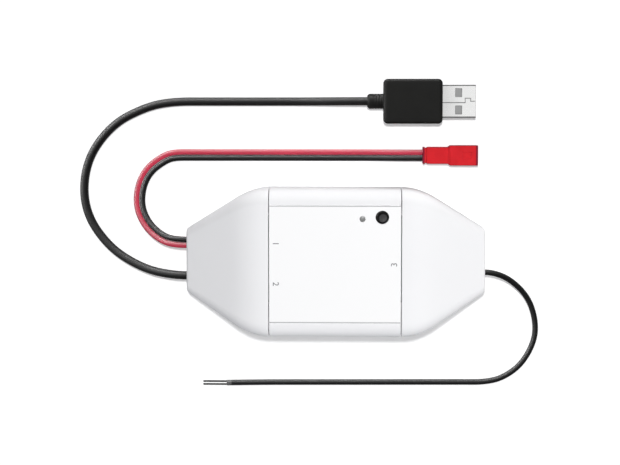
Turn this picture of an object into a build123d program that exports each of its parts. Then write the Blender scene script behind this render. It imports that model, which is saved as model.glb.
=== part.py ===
from build123d import *
import math
import os

# Garage door controller: a white in-line housing with three captive cables.
# It lies on its flat back, centred on the origin, with +X along its length,
# +Y across it and +Z out of the face that carries the label and the button.

# Housing envelope
housing_length = 108.5
housing_width = 53.0
housing_height = 27.0
wall = 2.0
center_length = 47.2
seam_gap = 0.24
tray_height = 8.0
edge_radius = 5.5
foot_radius = 2.0
end_width = 23.2
end_height = 14.0
end_edge_radius = 3.0
end_rounding = 1.4
shoulder_blend = 6.65
partition_thickness = 1.4
partition_gap = 2.5
overrun = 1.0

# Label and what shows through it
label_thickness = 0.2
label_side_gap = 0.15
label_corner_radius = 0.4
button_seam_distance = 6.8
button_side_distance = 9.7
button_bore_radius = 2.4
button_cap_radius = 2.1
button_setback = 1.0
button_dish_radius = 1.5
button_dish_depth = 0.35
button_rim_rounding = 0.25
button_travel = 0.3
button_flange_radius = 3.0
button_flange_thickness = 1.9
button_flange_gap = 0.35
guide_clearance = 0.3
guide_wall = 0.9
guide_depth = 3.4
window_button_distance = 7.0
window_side_distance = 10.3
pipe_radius = 1.0
pipe_flange_radius = 1.7
pipe_flange_thickness = 0.7
snug = 0.05

# Circuit board
board_end_distance = 21.25
board_width = 32.0
board_thickness = 1.6
board_tab_length = 18.0
board_notch_clearance = 0.5
board_corner_radius = 1.0
standoff_height = 2.0
standoff_radius = 2.2

# Screws
case_head_radius = 2.0
case_head_height = 1.3
case_head_recess = 0.6
case_shank_radius = 1.05
case_shank_length = 11.0
case_boss_radius = 3.0
end_screw_distance = 15.35
small_head_radius = 1.6
small_head_height = 1.1
small_shank_radius = 0.75
board_shank_length = 3.4
clamp_shank_length = 7.0
screw_clearance = 0.2
drive_radius = 0.9
drive_depth = 0.6

# Cables and the ports that they leave by
power_cable_diameter = 3.1
power_core_diameter = 1.1
power_core_pitch = 1.5
power_port_y = -6.0
sensor_lead_diameter = 2.1
sensor_lead_pitch = 2.15
sensor_port_y = 6.175
signal_cable_diameter = 2.1
signal_core_diameter = 0.6
signal_core_pitch = 1.1
signal_core_length = 8.8
signal_port_y = -4.5
port_clearance = 0.15
bend_share = 0.45

# Cable clamps
clamp_setback = 7.75
clamp_thickness = 5.0
clamp_height = 3.0
clamp_half_width = 12.0
clamp_screw_y = 10.2

# Board headers and their plugs
header_depth = 6.0
header_margin = 2.0
header_wall = 0.6
pin_radius = 0.25
pin_length = 4.5
board_plug_length = 6.6
plug_clearance = 0.08
sheath_tail = 3.0

# Push switch under the button
switch_side = 6.0
switch_height = 3.4
switch_corner = 0.4
plunger_radius = 1.75
plunger_depth = 1.6
plunger_clearance = 0.1
cap_socket_depth = 1.0

# Wireless module and its shield can
module_length = 16.6
module_width = 13.2
module_thickness = 0.8
module_header_gap = 1.0
module_side_share = 0.3125
shield_length = 11.4
shield_width = 12.0
shield_height = 2.2
shield_wall = 0.2
shield_corner = 0.6

# Other board parts, each with its place across the board as a share of the board's half width
relay_length = 12.0
relay_width = 7.0
relay_height = 5.6
relay_rounding = 0.3
relay_side_share = -0.375
regulator_length = 6.5
regulator_width = 3.5
regulator_height = 1.6
regulator_foot_height = 0.4
regulator_tab_width = 3.0
regulator_leg_width = 0.8
regulator_leg_reach = 1.7
regulator_leg_pitch = 2.3
regulator_side_share = -0.594
choke_side = 6.0
choke_height = 3.0
choke_corner = 1.4
choke_core_radius = 2.2
choke_core_depth = 0.5
choke_side_share = -0.625
capacitor_radius = 3.15
capacitor_height = 7.7
capacitor_base = 0.8
capacitor_rounding = 0.5
capacitor_chip_gap = 2.0
capacitor_side_shares = (-0.6875, 0.3125)
chip_length = 2.0
chip_width = 1.25
chip_height = 0.6
chip_spacing = 3.2
chip_columns = 4
chip_rows = 3
chip_button_distance = 10.3
chip_button_shift = 0.8
light_length = 1.6
light_width = 0.8
light_height = 0.8
pipe_light_gap = 0.5

# USB plug, lying flat with its folded seam upwards
usb_y = 57.8
usb_neck_start = 11.4
usb_neck_diameter = 5.5
usb_neck_length = 5.9
usb_neck_chamfer = 0.7
usb_grip_length = 21.5
usb_grip_width = 16.3
usb_grip_height = 8.6
usb_grip_corner = 1.6
usb_grip_rounding = 0.9
usb_shell_length = 12.1
usb_shell_width = 12.0
usb_shell_height = 4.5
usb_shell_wall = 0.3
usb_shell_corner = 0.6
usb_shell_seat = 6.0
usb_window_length = 2.4
usb_window_width = 3.06
usb_window_distance = 5.85
usb_window_offset = 3.14
usb_seam_width = 0.14
usb_seam_offset = -0.5
usb_seam_step = 1.6
usb_seam_turn = 8.2
usb_seam_back = 10.2
usb_tongue_width = 11.0
usb_tongue_height = 1.9
usb_tongue_setback = 0.6
usb_contact_width = 1.0
usb_contact_length = 7.4
usb_contact_height = 0.15
usb_inner_contact_y = 1.0
usb_outer_contact_y = 3.5
moulding_gap = 0.02

# Sensor connector
connector_start = 31.75
connector_y = 38.025
connector_rear_length = 9.6
connector_rear_width = 6.2
connector_rear_height = 4.4
connector_front_length = 10.6
connector_front_width = 7.4
connector_front_height = 5.4
connector_wall = 0.8
connector_cavity_depth = 9.0
connector_rounding = 0.4
connector_lip_length = 0.8
connector_groove_length = 0.7
connector_groove_depth = 0.3
connector_latch_length = 3.2
connector_latch_width = 2.6
connector_latch_depth = 0.35
connector_latch_setback = 4.2
terminal_radius = 0.85
terminal_bore_radius = 0.5
terminal_length = 14.0
terminal_inset = 2.0

# Derived places
end_x = housing_length / 2
side_y = housing_width / 2
seam_x = center_length / 2
shoulder_x = seam_x + shoulder_blend
cable_z = tray_height
label_width = housing_width - 2 * edge_radius
button_x = seam_x - button_seam_distance
button_y = side_y - button_side_distance
window_x = button_x - window_button_distance
window_y = side_y - window_side_distance
board_length = housing_length - 2 * board_end_distance
board_tab_width = button_y + switch_side / 2 + board_corner_radius - board_width / 2
board_bottom = wall + standoff_height
board_top = board_bottom + board_thickness
roof_z = housing_height - wall
label_bed_z = housing_height - label_thickness
usb_z = usb_grip_height / 2
connector_z = connector_front_height / 2
clamp_distance = end_x - clamp_setback
inner_sheath_end = clamp_distance - clamp_thickness / 2 - sheath_tail

# Places of the parts on the board: one row between the headers, and a group below the button
header_face_x = board_length / 2 - header_depth
module_x = module_header_gap + module_length / 2 - header_face_x
chip_x = button_x - chip_button_shift
chip_y = button_y - chip_button_distance
chip_span = (chip_columns - 1) * chip_spacing + chip_length
upper_capacitor_x = chip_x - chip_span / 2 - capacitor_chip_gap - capacitor_radius

# Screw places, shared by bosses, holes and screws
center_screw_x = seam_x - case_boss_radius - partition_thickness / 2
center_screw_y = side_y - case_boss_radius - edge_radius / 2
center_screw_places = [
    (-center_screw_x, center_screw_y),
    (-center_screw_x, -center_screw_y),
    (center_screw_x, -center_screw_y),
]
end_screw_x = end_x - end_screw_distance
end_screw_y = end_width / 2 + case_boss_radius
end_screw_places = [
    (x, y) for x in (-end_screw_x, end_screw_x) for y in (-end_screw_y, end_screw_y)
]
case_screw_places = center_screw_places + end_screw_places
case_screw_seat = case_head_recess + case_head_height
case_screw_hole = case_screw_seat + case_shank_length + overrun - tray_height
board_screw_x = board_length / 2 - standoff_radius
board_screw_y = board_width / 2 - standoff_radius
board_screw_places = [
    (x, y) for x in (-board_screw_x, board_screw_x) for y in (-board_screw_y, board_screw_y)
]
clamp_screw_places = [
    (x, y) for x in (-clamp_distance, clamp_distance) for y in (-clamp_screw_y, clamp_screw_y)
]

# Each line that a cable takes through an end face: side, place along Y, radius
sensor_red_y = sensor_port_y - sensor_lead_pitch / 2
sensor_black_y = sensor_port_y + sensor_lead_pitch / 2
cable_lines = [
    (-1, power_port_y, power_cable_diameter / 2),
    (-1, sensor_red_y, sensor_lead_diameter / 2),
    (-1, sensor_black_y, sensor_lead_diameter / 2),
    (1, signal_port_y, signal_cable_diameter / 2),
]

# Routes of the free cables, from the end face of the housing to what is on them
power_route = [
    (-end_x, power_port_y, cable_z),
    (-59.5, -6.0, 8.0),
    (-71.2, -3.8, 5.4),
    (-84.5, 4.0, 2.6),
    (-93.7, 18.0, 1.6),
    (-92.8, 35.5, 1.6),
    (-83.0, 49.2, 1.6),
    (-70.0, 55.8, 1.6),
    (-60.0, 57.7, 1.6),
    (-12.0, 57.7, 1.6),
    (2.0, 57.8, 4.3),
    (usb_neck_start, usb_y, usb_z),
]
sensor_red_route = [
    (-end_x, sensor_red_y, cable_z),
    (-59.35, 5.1, 8.0),
    (-65.0, 6.8, 5.8),
    (-70.65, 11.5, 3.6),
    (-74.1, 18.5, 1.9),
    (-73.7, 26.5, 1.1),
    (-70.35, 33.15, 1.1),
    (-64.75, 37.4, 1.1),
    (-60.4, 39.1, 1.1),
    (14.0, 39.1, 1.1),
    (24.0, 39.1, 2.7),
    (connector_start, connector_y + sensor_lead_pitch / 2, connector_z),
]
sensor_black_route = [
    (-end_x, sensor_black_y, cable_z),
    (-59.05, 7.25, 8.0),
    (-64.0, 8.75, 5.8),
    (-68.95, 12.9, 3.6),
    (-71.9, 18.9, 1.9),
    (-71.5, 25.9, 1.1),
    (-68.65, 31.65, 1.1),
    (-63.65, 35.4, 1.1),
    (-60.0, 36.95, 1.1),
    (14.0, 36.95, 1.1),
    (24.0, 36.95, 2.7),
    (connector_start, connector_y - sensor_lead_pitch / 2, connector_z),
]
signal_route = [
    (end_x, signal_port_y, cable_z),
    (57.4, -4.5, 8.0),
    (64.2, -7.4, 5.6),
    (70.8, -14.0, 2.9),
    (73.8, -22.2, 1.5),
    (73.8, -30.4, 1.1),
    (69.0, -39.5, 1.1),
    (61.8, -44.7, 1.1),
    (55.0, -46.2, 1.1),
    (-28.0, -46.65, 1.1),
    (-40.65, -46.9, 1.1),
]


# The share of the fall from the middle section to the end face, reached at a distance x
# from the middle: none up to the seam, then a parabola, then a straight slope.
def end_share(x):
    slope_length = end_x - shoulder_x
    if x <= seam_x:
        return 0
    if x < shoulder_x + shoulder_blend:
        return (x - seam_x) ** 2 / (4 * shoulder_blend * slope_length)
    return (x - shoulder_x) / slope_length


def half_width_at(x):
    return side_y - (side_y - end_width / 2) * end_share(x)


def height_at(x):
    return housing_height - (housing_height - end_height) * end_share(x)


# The housing's cross-section at x, drawn in by the inset on every side
def housing_section(x, inset):
    upper_radius = edge_radius - (edge_radius - end_edge_radius) * end_share(x)
    with BuildSketch(Plane.YZ.offset(x)) as section:
        with Locations((0, height_at(x) / 2)):
            Rectangle(2 * (half_width_at(x) - inset), height_at(x) - 2 * inset)
        fillet(section.vertices().group_by(Axis.Y)[-1], max(upper_radius - inset, foot_radius / 2))
        fillet(section.vertices().group_by(Axis.Y)[0], foot_radius)
    return section.sketch


# The housing as a closed form, drawn in by the inset on every side
def housing_form(inset):
    blend_shares = (0, 0.25, 0.5, 0.75, 1)
    stations = [seam_x + 2 * shoulder_blend * share for share in blend_shares]
    with BuildPart() as form:
        extrude(housing_section(-seam_x, inset), amount=center_length)
        loft([housing_section(x, inset) for x in stations])
        loft([housing_section(x, inset) for x in (stations[-1], end_x - inset)], ruled=True)
        mirror(about=Plane.YZ)
    return form


# Centres of board parts that stand in a row between the headers, with equal gaps
def row_centers(lengths):
    gap = (2 * header_face_x - sum(lengths)) / (len(lengths) + 1)
    centers = []
    start = gap - header_face_x
    for length in lengths:
        centers.append(start + length / 2)
        start += length + gap
    return centers


# One arc radius for each corner of a route, as large as its two runs allow
def bend_radii(route):
    points = [Vector(*point) for point in route]
    radii = []
    for before, corner, after in zip(points, points[1:], points[2:]):
        run_in = corner - before
        run_out = after - corner
        half_turn = math.radians(run_in.get_angle(run_out)) / 2
        radii.append(bend_share * min(run_in.length, run_out.length) / math.tan(half_turn))
    return radii


# A round cable along a route
def cable(route, diameter):
    radii = bend_radii(route)
    with BuildPart() as tube:
        with BuildLine() as path:
            FilletPolyline(*route, radius=radii)
        with BuildSketch(path.wire() ^ 0):
            Circle(diameter / 2)
        sweep(path=path.wire())
    length = path.wire().length
    volume_share = tube.part.volume / (math.pi * diameter**2 / 4 * length)
    print(
        f"cable {diameter} mm: length {length:.1f}, volume share {volume_share:.4f},",
        f"least radius {min(radii):.1f}, radii {[round(radius, 1) for radius in radii]}",
    )
    return tube


with BuildPart() as outer_form:
    add(housing_form(0).part)
    fillet(
        outer_form.faces().sort_by(Axis.X)[-1].edges() + outer_form.faces().sort_by(Axis.X)[0].edges(),
        end_rounding,
    )

with BuildPart() as shell_form:
    add(outer_form.part)
    add(housing_form(wall).part, mode=Mode.SUBTRACT)

# Tray with the screw columns, the board's standoffs and the cradles of the cable clamps
with BuildPart() as base_tray:
    add(shell_form.part)
    split(bisect_by=Plane.XY.offset(tray_height), keep=Keep.BOTTOM)
    with BuildSketch(Plane.XY.offset(wall / 2)):
        with Locations(*case_screw_places):
            Circle(case_boss_radius)
    extrude(amount=tray_height - wall / 2)
    with BuildSketch(Plane.XY.offset(wall / 2)):
        with Locations(*board_screw_places):
            Circle(standoff_radius)
    extrude(amount=board_bottom - wall / 2)
    with BuildSketch(Plane.XY.offset(wall / 2)):
        with Locations((-clamp_distance, 0), (clamp_distance, 0)):
            Rectangle(clamp_thickness, 2 * clamp_half_width)
    extrude(amount=tray_height - wall / 2)
    with BuildSketch():
        with Locations(*case_screw_places):
            Circle(case_shank_radius + screw_clearance)
    extrude(amount=tray_height, mode=Mode.SUBTRACT)
    with BuildSketch():
        with Locations(*case_screw_places):
            Circle(case_head_radius + screw_clearance)
    extrude(amount=case_screw_seat, mode=Mode.SUBTRACT)
    with BuildSketch(Plane.XY.offset(board_bottom)):
        with Locations(*board_screw_places):
            Circle(small_shank_radius + snug)
    extrude(amount=-standoff_height, mode=Mode.SUBTRACT)
    with BuildSketch(Plane.XY.offset(tray_height)):
        with Locations(*clamp_screw_places):
            Circle(small_shank_radius + snug)
    extrude(amount=wall - tray_height, mode=Mode.SUBTRACT)
    for side, line_y, line_radius in cable_lines:
        with BuildSketch(Plane.YZ.offset(side * (end_x + overrun))):
            with Locations((line_y, cable_z)):
                Circle(line_radius + port_clearance)
        extrude(amount=-side * (wall + 2 * overrun), mode=Mode.SUBTRACT)
        with BuildSketch(Plane.YZ.offset(side * (clamp_distance + clamp_thickness))):
            with Locations((line_y, cable_z)):
                Circle(line_radius + snug)
        extrude(amount=-side * 2 * clamp_thickness, mode=Mode.SUBTRACT)

# Centre cover with its label bed, button bore, window, partitions and screw bosses
with BuildPart() as center_cover:
    add(shell_form.part)
    split(bisect_by=Plane.XY.offset(tray_height), keep=Keep.TOP)
    split(bisect_by=Plane.YZ.offset(seam_x - seam_gap / 2), keep=Keep.BOTTOM)
    split(bisect_by=Plane.YZ.offset(seam_gap / 2 - seam_x), keep=Keep.TOP)
    for side in (-1, 1):
        with BuildSketch(Plane.YZ.offset(side * (seam_x - seam_gap / 2))):
            with Locations((0, (tray_height + partition_gap + roof_z) / 2)):
                Rectangle(2 * (side_y - wall), roof_z - tray_height - partition_gap)
        extrude(amount=-side * partition_thickness)
    with BuildSketch(Plane.XY.offset(tray_height)):
        with Locations(*center_screw_places):
            Circle(case_boss_radius)
    extrude(amount=roof_z - tray_height)
    with BuildSketch(Plane.XY.offset(tray_height)):
        with Locations(*center_screw_places):
            Circle(case_shank_radius + snug)
    extrude(amount=case_screw_hole, mode=Mode.SUBTRACT)
    with BuildSketch(Plane.XY.offset(roof_z)):
        with Locations((button_x, button_y)):
            Circle(button_flange_radius + guide_clearance + guide_wall)
            Circle(button_flange_radius + guide_clearance, mode=Mode.SUBTRACT)
    extrude(amount=-guide_depth)
    with BuildSketch(Plane.XY.offset(label_bed_z)):
        Rectangle(center_length, label_width + 2 * label_side_gap)
    extrude(amount=label_thickness + overrun, mode=Mode.SUBTRACT)
    with BuildSketch(Plane.XY.offset(roof_z)):
        with Locations((button_x, button_y)):
            Circle(button_bore_radius)
        with Locations((window_x, window_y)):
            Circle(pipe_radius + snug)
    extrude(amount=wall, mode=Mode.SUBTRACT)


# An end cover, with two screw bosses and its half of the cable ports
def end_cover(side):
    with BuildPart() as cover:
        with BuildSketch(Plane.XY.offset(tray_height)):
            with Locations(*[place for place in end_screw_places if place[0] * side > 0]):
                Circle(case_boss_radius)
        extrude(amount=housing_height - tray_height)
        add(outer_form.part, mode=Mode.INTERSECT)
        add(shell_form.part)
        split(bisect_by=Plane.XY.offset(tray_height), keep=Keep.TOP)
        seam_plane = Plane.YZ.offset(side * (seam_x + seam_gap / 2))
        split(bisect_by=seam_plane, keep=Keep.TOP if side > 0 else Keep.BOTTOM)
        with BuildSketch(Plane.XY.offset(tray_height)):
            with Locations(*[place for place in end_screw_places if place[0] * side > 0]):
                Circle(case_shank_radius + snug)
        extrude(amount=case_screw_hole, mode=Mode.SUBTRACT)
        for line_side, line_y, line_radius in cable_lines:
            if line_side == side:
                with BuildSketch(Plane.YZ.offset(side * (end_x + overrun))):
                    with Locations((line_y, cable_z)):
                        Circle(line_radius + port_clearance)
                extrude(amount=-side * (wall + 2 * overrun), mode=Mode.SUBTRACT)
    return cover


left_end_cover = end_cover(-1)
right_end_cover = end_cover(1)

with BuildPart() as label:
    with BuildSketch(Plane.XY.offset(label_bed_z)):
        RectangleRounded(center_length - seam_gap - 2 * label_side_gap, label_width, label_corner_radius)
        with Locations((button_x, button_y)):
            Circle(button_bore_radius, mode=Mode.SUBTRACT)
        with Locations((window_x, window_y)):
            Circle(pipe_radius + snug, mode=Mode.SUBTRACT)
    extrude(amount=label_thickness)


# A group of like screws, each with its seat at the given height and a hexagonal recess
def screws(places, seat_z, up, head_radius, head_height, shank_radius, shank_length):
    with BuildPart() as group:
        with BuildSketch(Plane.XY.offset(seat_z)):
            with Locations(*places):
                Circle(head_radius)
        extrude(amount=-up * head_height)
        with BuildSketch(Plane.XY.offset(seat_z)):
            with Locations(*places):
                Circle(shank_radius)
        extrude(amount=up * shank_length)
        with BuildSketch(Plane.XY.offset(seat_z - up * head_height)):
            with Locations(*places):
                RegularPolygon(drive_radius, 6)
        extrude(amount=up * drive_depth, mode=Mode.SUBTRACT)
    return group


case_screws = screws(
    case_screw_places,
    case_screw_seat,
    1,
    case_head_radius,
    case_head_height,
    case_shank_radius,
    case_shank_length,
)
board_screws = screws(
    board_screw_places,
    board_top,
    -1,
    small_head_radius,
    small_head_height,
    small_shank_radius,
    board_shank_length,
)
clamp_screws = screws(
    clamp_screw_places,
    cable_z + clamp_height,
    -1,
    small_head_radius,
    small_head_height,
    small_shank_radius,
    clamp_shank_length,
)

# Button cap: a dished disc on a flange that the guide under the roof holds
button_top = housing_height - button_setback
button_flange_top = roof_z - button_flange_gap
button_bottom = button_flange_top - button_flange_thickness
dish_sphere_radius = (button_dish_radius**2 + button_dish_depth**2) / (2 * button_dish_depth)
with BuildPart() as button_cap:
    with BuildSketch(Plane.XY.offset(button_bottom)):
        with Locations((button_x, button_y)):
            Circle(button_cap_radius)
    extrude(amount=button_top - button_bottom)
    fillet(button_cap.faces().sort_by(Axis.Z)[-1].edges(), button_rim_rounding)
    with BuildSketch(Plane.XY.offset(button_bottom)):
        with Locations((button_x, button_y)):
            Circle(button_flange_radius)
    extrude(amount=button_flange_thickness)
    with Locations((button_x, button_y, button_top + dish_sphere_radius - button_dish_depth)):
        Sphere(dish_sphere_radius, mode=Mode.SUBTRACT)
    with BuildSketch(Plane.XY.offset(button_bottom)):
        with Locations((button_x, button_y)):
            Circle(plunger_radius + plunger_clearance)
    extrude(amount=cap_socket_depth, mode=Mode.SUBTRACT)

switch_top = board_top + switch_height
plunger_bottom = switch_top - plunger_depth
with BuildPart() as switch_plunger:
    with BuildSketch(Plane.XY.offset(plunger_bottom)):
        with Locations((button_x, button_y)):
            Circle(plunger_radius)
    extrude(amount=button_bottom + cap_socket_depth - plunger_bottom)

with BuildPart() as switch_body:
    with BuildSketch(Plane.XY.offset(board_top)):
        with Locations((button_x, button_y)):
            RectangleRounded(switch_side, switch_side, switch_corner)
    extrude(amount=switch_height)
    with BuildSketch(Plane.XY.offset(switch_top)):
        with Locations((button_x, button_y)):
            Circle(plunger_radius + plunger_clearance)
    extrude(amount=-plunger_depth - button_travel - snug, mode=Mode.SUBTRACT)

# Main board with a tab that reaches under the button and the window, clear of the screw columns
tab_x = button_x + switch_side / 2 + board_corner_radius - board_tab_length / 2
with BuildPart() as main_board:
    with BuildSketch(Plane.XY.offset(board_bottom)) as board_outline:
        Rectangle(board_length, board_width)
        with Locations((tab_x, board_width / 2)):
            Rectangle(board_tab_length, 2 * board_tab_width)
        fillet(board_outline.vertices().group_by(Axis.Y)[-1], min(board_corner_radius, board_tab_width / 2))
        fillet(board_outline.vertices().group_by(Axis.Y)[0], board_corner_radius)
        with Locations(*case_screw_places):
            Circle(case_boss_radius + board_notch_clearance, mode=Mode.SUBTRACT)
        with Locations(*board_screw_places):
            Circle(small_shank_radius + screw_clearance, mode=Mode.SUBTRACT)
    extrude(amount=board_thickness)

with BuildPart() as status_light:
    with BuildSketch(Plane.XY.offset(board_top)):
        with Locations((window_x, window_y)):
            Rectangle(light_length, light_width)
    extrude(amount=light_height)

pipe_bottom = board_top + light_height + pipe_light_gap
with BuildPart() as light_pipe:
    with BuildSketch(Plane.XY.offset(pipe_bottom)):
        with Locations((window_x, window_y)):
            Circle(pipe_radius)
    extrude(amount=housing_height - pipe_bottom)
    with BuildSketch(Plane.XY.offset(roof_z)):
        with Locations((window_x, window_y)):
            Circle(pipe_flange_radius)
    extrude(amount=-pipe_flange_thickness)

module_y = board_width / 2 * module_side_share
with BuildPart() as wireless_module:
    with BuildSketch(Plane.XY.offset(board_top)):
        with Locations((module_x, module_y)):
            Rectangle(module_length, module_width)
    extrude(amount=module_thickness)

shield_x = module_x + (module_length - shield_length) / 2 - snug
with BuildPart() as module_shield:
    with BuildSketch(Plane.XY.offset(board_top + module_thickness)):
        with Locations((shield_x, module_y)):
            RectangleRounded(shield_length, shield_width, shield_corner)
    extrude(amount=shield_height)
    with BuildSketch(Plane.XY.offset(board_top + module_thickness)):
        with Locations((shield_x, module_y)):
            RectangleRounded(
                shield_length - 2 * shield_wall, shield_width - 2 * shield_wall, shield_corner - shield_wall
            )
    extrude(amount=shield_height - shield_wall, mode=Mode.SUBTRACT)

choke_x, lower_capacitor_x, relay_x, regulator_x = row_centers(
    [choke_side, 2 * capacitor_radius, relay_length, regulator_length]
)
capacitor_places = [
    (lower_capacitor_x, board_width / 2 * capacitor_side_shares[0]),
    (upper_capacitor_x, board_width / 2 * capacitor_side_shares[1]),
]

with BuildPart() as output_relay:
    with BuildSketch(Plane.XY.offset(board_top)):
        with Locations((relay_x, board_width / 2 * relay_side_share)):
            Rectangle(relay_length, relay_width)
    extrude(amount=relay_height)
    relay_top_edges = output_relay.faces().sort_by(Axis.Z)[-1].edges()
    fillet(output_relay.edges().filter_by(Axis.Z) + relay_top_edges, relay_rounding)

regulator_y = board_width / 2 * regulator_side_share
with BuildPart() as voltage_regulator:
    with BuildSketch(Plane.XY.offset(board_top)):
        with Locations((regulator_x, regulator_y)):
            Rectangle(regulator_length, regulator_width)
    extrude(amount=regulator_height)
    with BuildSketch(Plane.XY.offset(board_top)):
        with Locations((regulator_x, regulator_y + (regulator_width + regulator_leg_reach) / 2)):
            Rectangle(regulator_tab_width, regulator_leg_reach)
        with Locations((regulator_x, regulator_y - (regulator_width + regulator_leg_reach) / 2)):
            with GridLocations(regulator_leg_pitch, regulator_leg_pitch, 3, 1):
                Rectangle(regulator_leg_width, regulator_leg_reach)
    extrude(amount=regulator_foot_height)

choke_y = board_width / 2 * choke_side_share
with BuildPart() as power_choke:
    with BuildSketch(Plane.XY.offset(board_top)):
        with Locations((choke_x, choke_y)):
            RectangleRounded(choke_side, choke_side, choke_corner)
    extrude(amount=choke_height)
    with BuildSketch(Plane.XY.offset(board_top + choke_height)):
        with Locations((choke_x, choke_y)):
            Circle(choke_core_radius)
    extrude(amount=-choke_core_depth, mode=Mode.SUBTRACT)

with BuildPart() as filter_capacitors:
    with BuildSketch(Plane.XY.offset(board_top)):
        with Locations(*capacitor_places):
            Circle(capacitor_radius)
    extrude(amount=capacitor_height)
    fillet(filter_capacitors.faces().group_by(Axis.Z)[-1].edges(), capacitor_rounding)
    with BuildSketch(Plane.XY.offset(board_top)):
        with Locations(*capacitor_places):
            Rectangle(2 * capacitor_radius, 2 * capacitor_radius)
    extrude(amount=capacitor_base)

with BuildPart() as chip_parts:
    with BuildSketch(Plane.XY.offset(board_top)):
        with Locations((chip_x, chip_y)):
            with GridLocations(chip_spacing, chip_spacing, chip_columns, chip_rows):
                Rectangle(chip_length, chip_width)
    extrude(amount=chip_height)


# A two-way board header, open towards its end of the board, with two pins
def board_header(side, port_y, pitch):
    width = pitch + 2 * header_margin
    height = 2 * (cable_z - board_top)
    with BuildPart() as header:
        with BuildSketch(Plane.YZ.offset(side * board_length / 2)):
            with Locations((port_y, cable_z)):
                Rectangle(width, height)
        extrude(amount=-side * header_depth)
        with BuildSketch(Plane.YZ.offset(side * board_length / 2)):
            with Locations((port_y, cable_z)):
                Rectangle(width - 2 * header_wall, height - 2 * header_wall)
        extrude(amount=side * (header_wall - header_depth), mode=Mode.SUBTRACT)
        with BuildSketch(Plane.YZ.offset(side * (header_face_x + header_wall / 2))):
            with Locations((port_y - pitch / 2, cable_z), (port_y + pitch / 2, cable_z)):
                Circle(pin_radius)
        extrude(amount=side * pin_length)
    return header


# The plug that sits in such a header, bored for the pins
def board_plug(side, port_y, pitch):
    width = pitch + 2 * (header_margin - header_wall - plug_clearance)
    height = 2 * (cable_z - board_top - header_wall - plug_clearance)
    seat_x = header_face_x + header_wall + plug_clearance
    with BuildPart() as plug:
        with BuildSketch(Plane.YZ.offset(side * seat_x)):
            with Locations((port_y, cable_z)):
                Rectangle(width, height)
            with Locations((port_y - pitch / 2, cable_z), (port_y + pitch / 2, cable_z)):
                Circle(pin_radius + plug_clearance, mode=Mode.SUBTRACT)
        extrude(amount=side * pin_length)
        with BuildSketch(Plane.YZ.offset(side * (seat_x + pin_length))):
            with Locations((port_y, cable_z)):
                Rectangle(width, height)
        extrude(amount=side * (board_plug_length - pin_length))
    return plug


power_header = board_header(-1, power_port_y, power_core_pitch)
sensor_header = board_header(-1, sensor_port_y, sensor_lead_pitch)
signal_header = board_header(1, signal_port_y, signal_core_pitch)
power_board_plug = board_plug(-1, power_port_y, power_core_pitch)
sensor_board_plug = board_plug(-1, sensor_port_y, sensor_lead_pitch)
signal_board_plug = board_plug(1, signal_port_y, signal_core_pitch)

# Inner ends of the cables, from the end face of the housing to the board plugs
plug_face_x = header_face_x + header_wall + plug_clearance + board_plug_length


def inner_end(side, port_y, sheath_diameter, core_diameter, pitch):
    with BuildPart() as inner:
        if sheath_diameter > 0:
            with BuildSketch(Plane.YZ.offset(side * inner_sheath_end)):
                with Locations((port_y, cable_z)):
                    Circle(sheath_diameter / 2)
            extrude(amount=side * (end_x - inner_sheath_end))
        core_start = inner_sheath_end if sheath_diameter > 0 else end_x
        with BuildSketch(Plane.YZ.offset(side * plug_face_x)):
            with Locations((port_y - pitch / 2, cable_z), (port_y + pitch / 2, cable_z)):
                Circle(core_diameter / 2)
        extrude(amount=side * (core_start - plug_face_x))
    return inner


power_inner_end = inner_end(-1, power_port_y, power_cable_diameter, power_core_diameter, power_core_pitch)
sensor_inner_end = inner_end(-1, sensor_port_y, 0, sensor_lead_diameter, sensor_lead_pitch)
signal_inner_end = inner_end(1, signal_port_y, signal_cable_diameter, signal_core_diameter, signal_core_pitch)


# A clamp bar over the cables of one side, screwed to its cradle in the tray
def cable_clamp(side):
    with BuildPart() as clamp:
        with BuildSketch(Plane.XY.offset(cable_z)):
            with Locations((side * clamp_distance, 0)):
                Rectangle(clamp_thickness, 2 * clamp_half_width)
            with Locations(*[place for place in clamp_screw_places if place[0] * side > 0]):
                Circle(small_shank_radius + screw_clearance, mode=Mode.SUBTRACT)
        extrude(amount=clamp_height)
        for line_side, line_y, line_radius in cable_lines:
            if line_side == side:
                with BuildSketch(Plane.YZ.offset(side * (clamp_distance + clamp_thickness))):
                    with Locations((line_y, cable_z)):
                        Circle(line_radius + snug)
                extrude(amount=-side * 2 * clamp_thickness, mode=Mode.SUBTRACT)
    return clamp


left_clamp = cable_clamp(-1)
right_clamp = cable_clamp(1)

power_cable = cable(power_route, power_cable_diameter)
sensor_lead_red = cable(sensor_red_route, sensor_lead_diameter)
sensor_lead_black = cable(sensor_black_route, sensor_lead_diameter)
signal_cable = cable(signal_route, signal_cable_diameter)

# Bare cores that stand out of the signal cable's cut end
signal_end_x, signal_end_y, signal_end_z = signal_route[-1]


def signal_core(offset_y):
    with BuildPart() as core:
        with BuildSketch(Plane.YZ.offset(signal_end_x)):
            with Locations((signal_end_y + offset_y, signal_end_z)):
                Circle(signal_core_diameter / 2)
        extrude(amount=-signal_core_length)
    return core


signal_core_upper = signal_core(signal_core_pitch / 2)
signal_core_lower = signal_core(-signal_core_pitch / 2)

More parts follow.
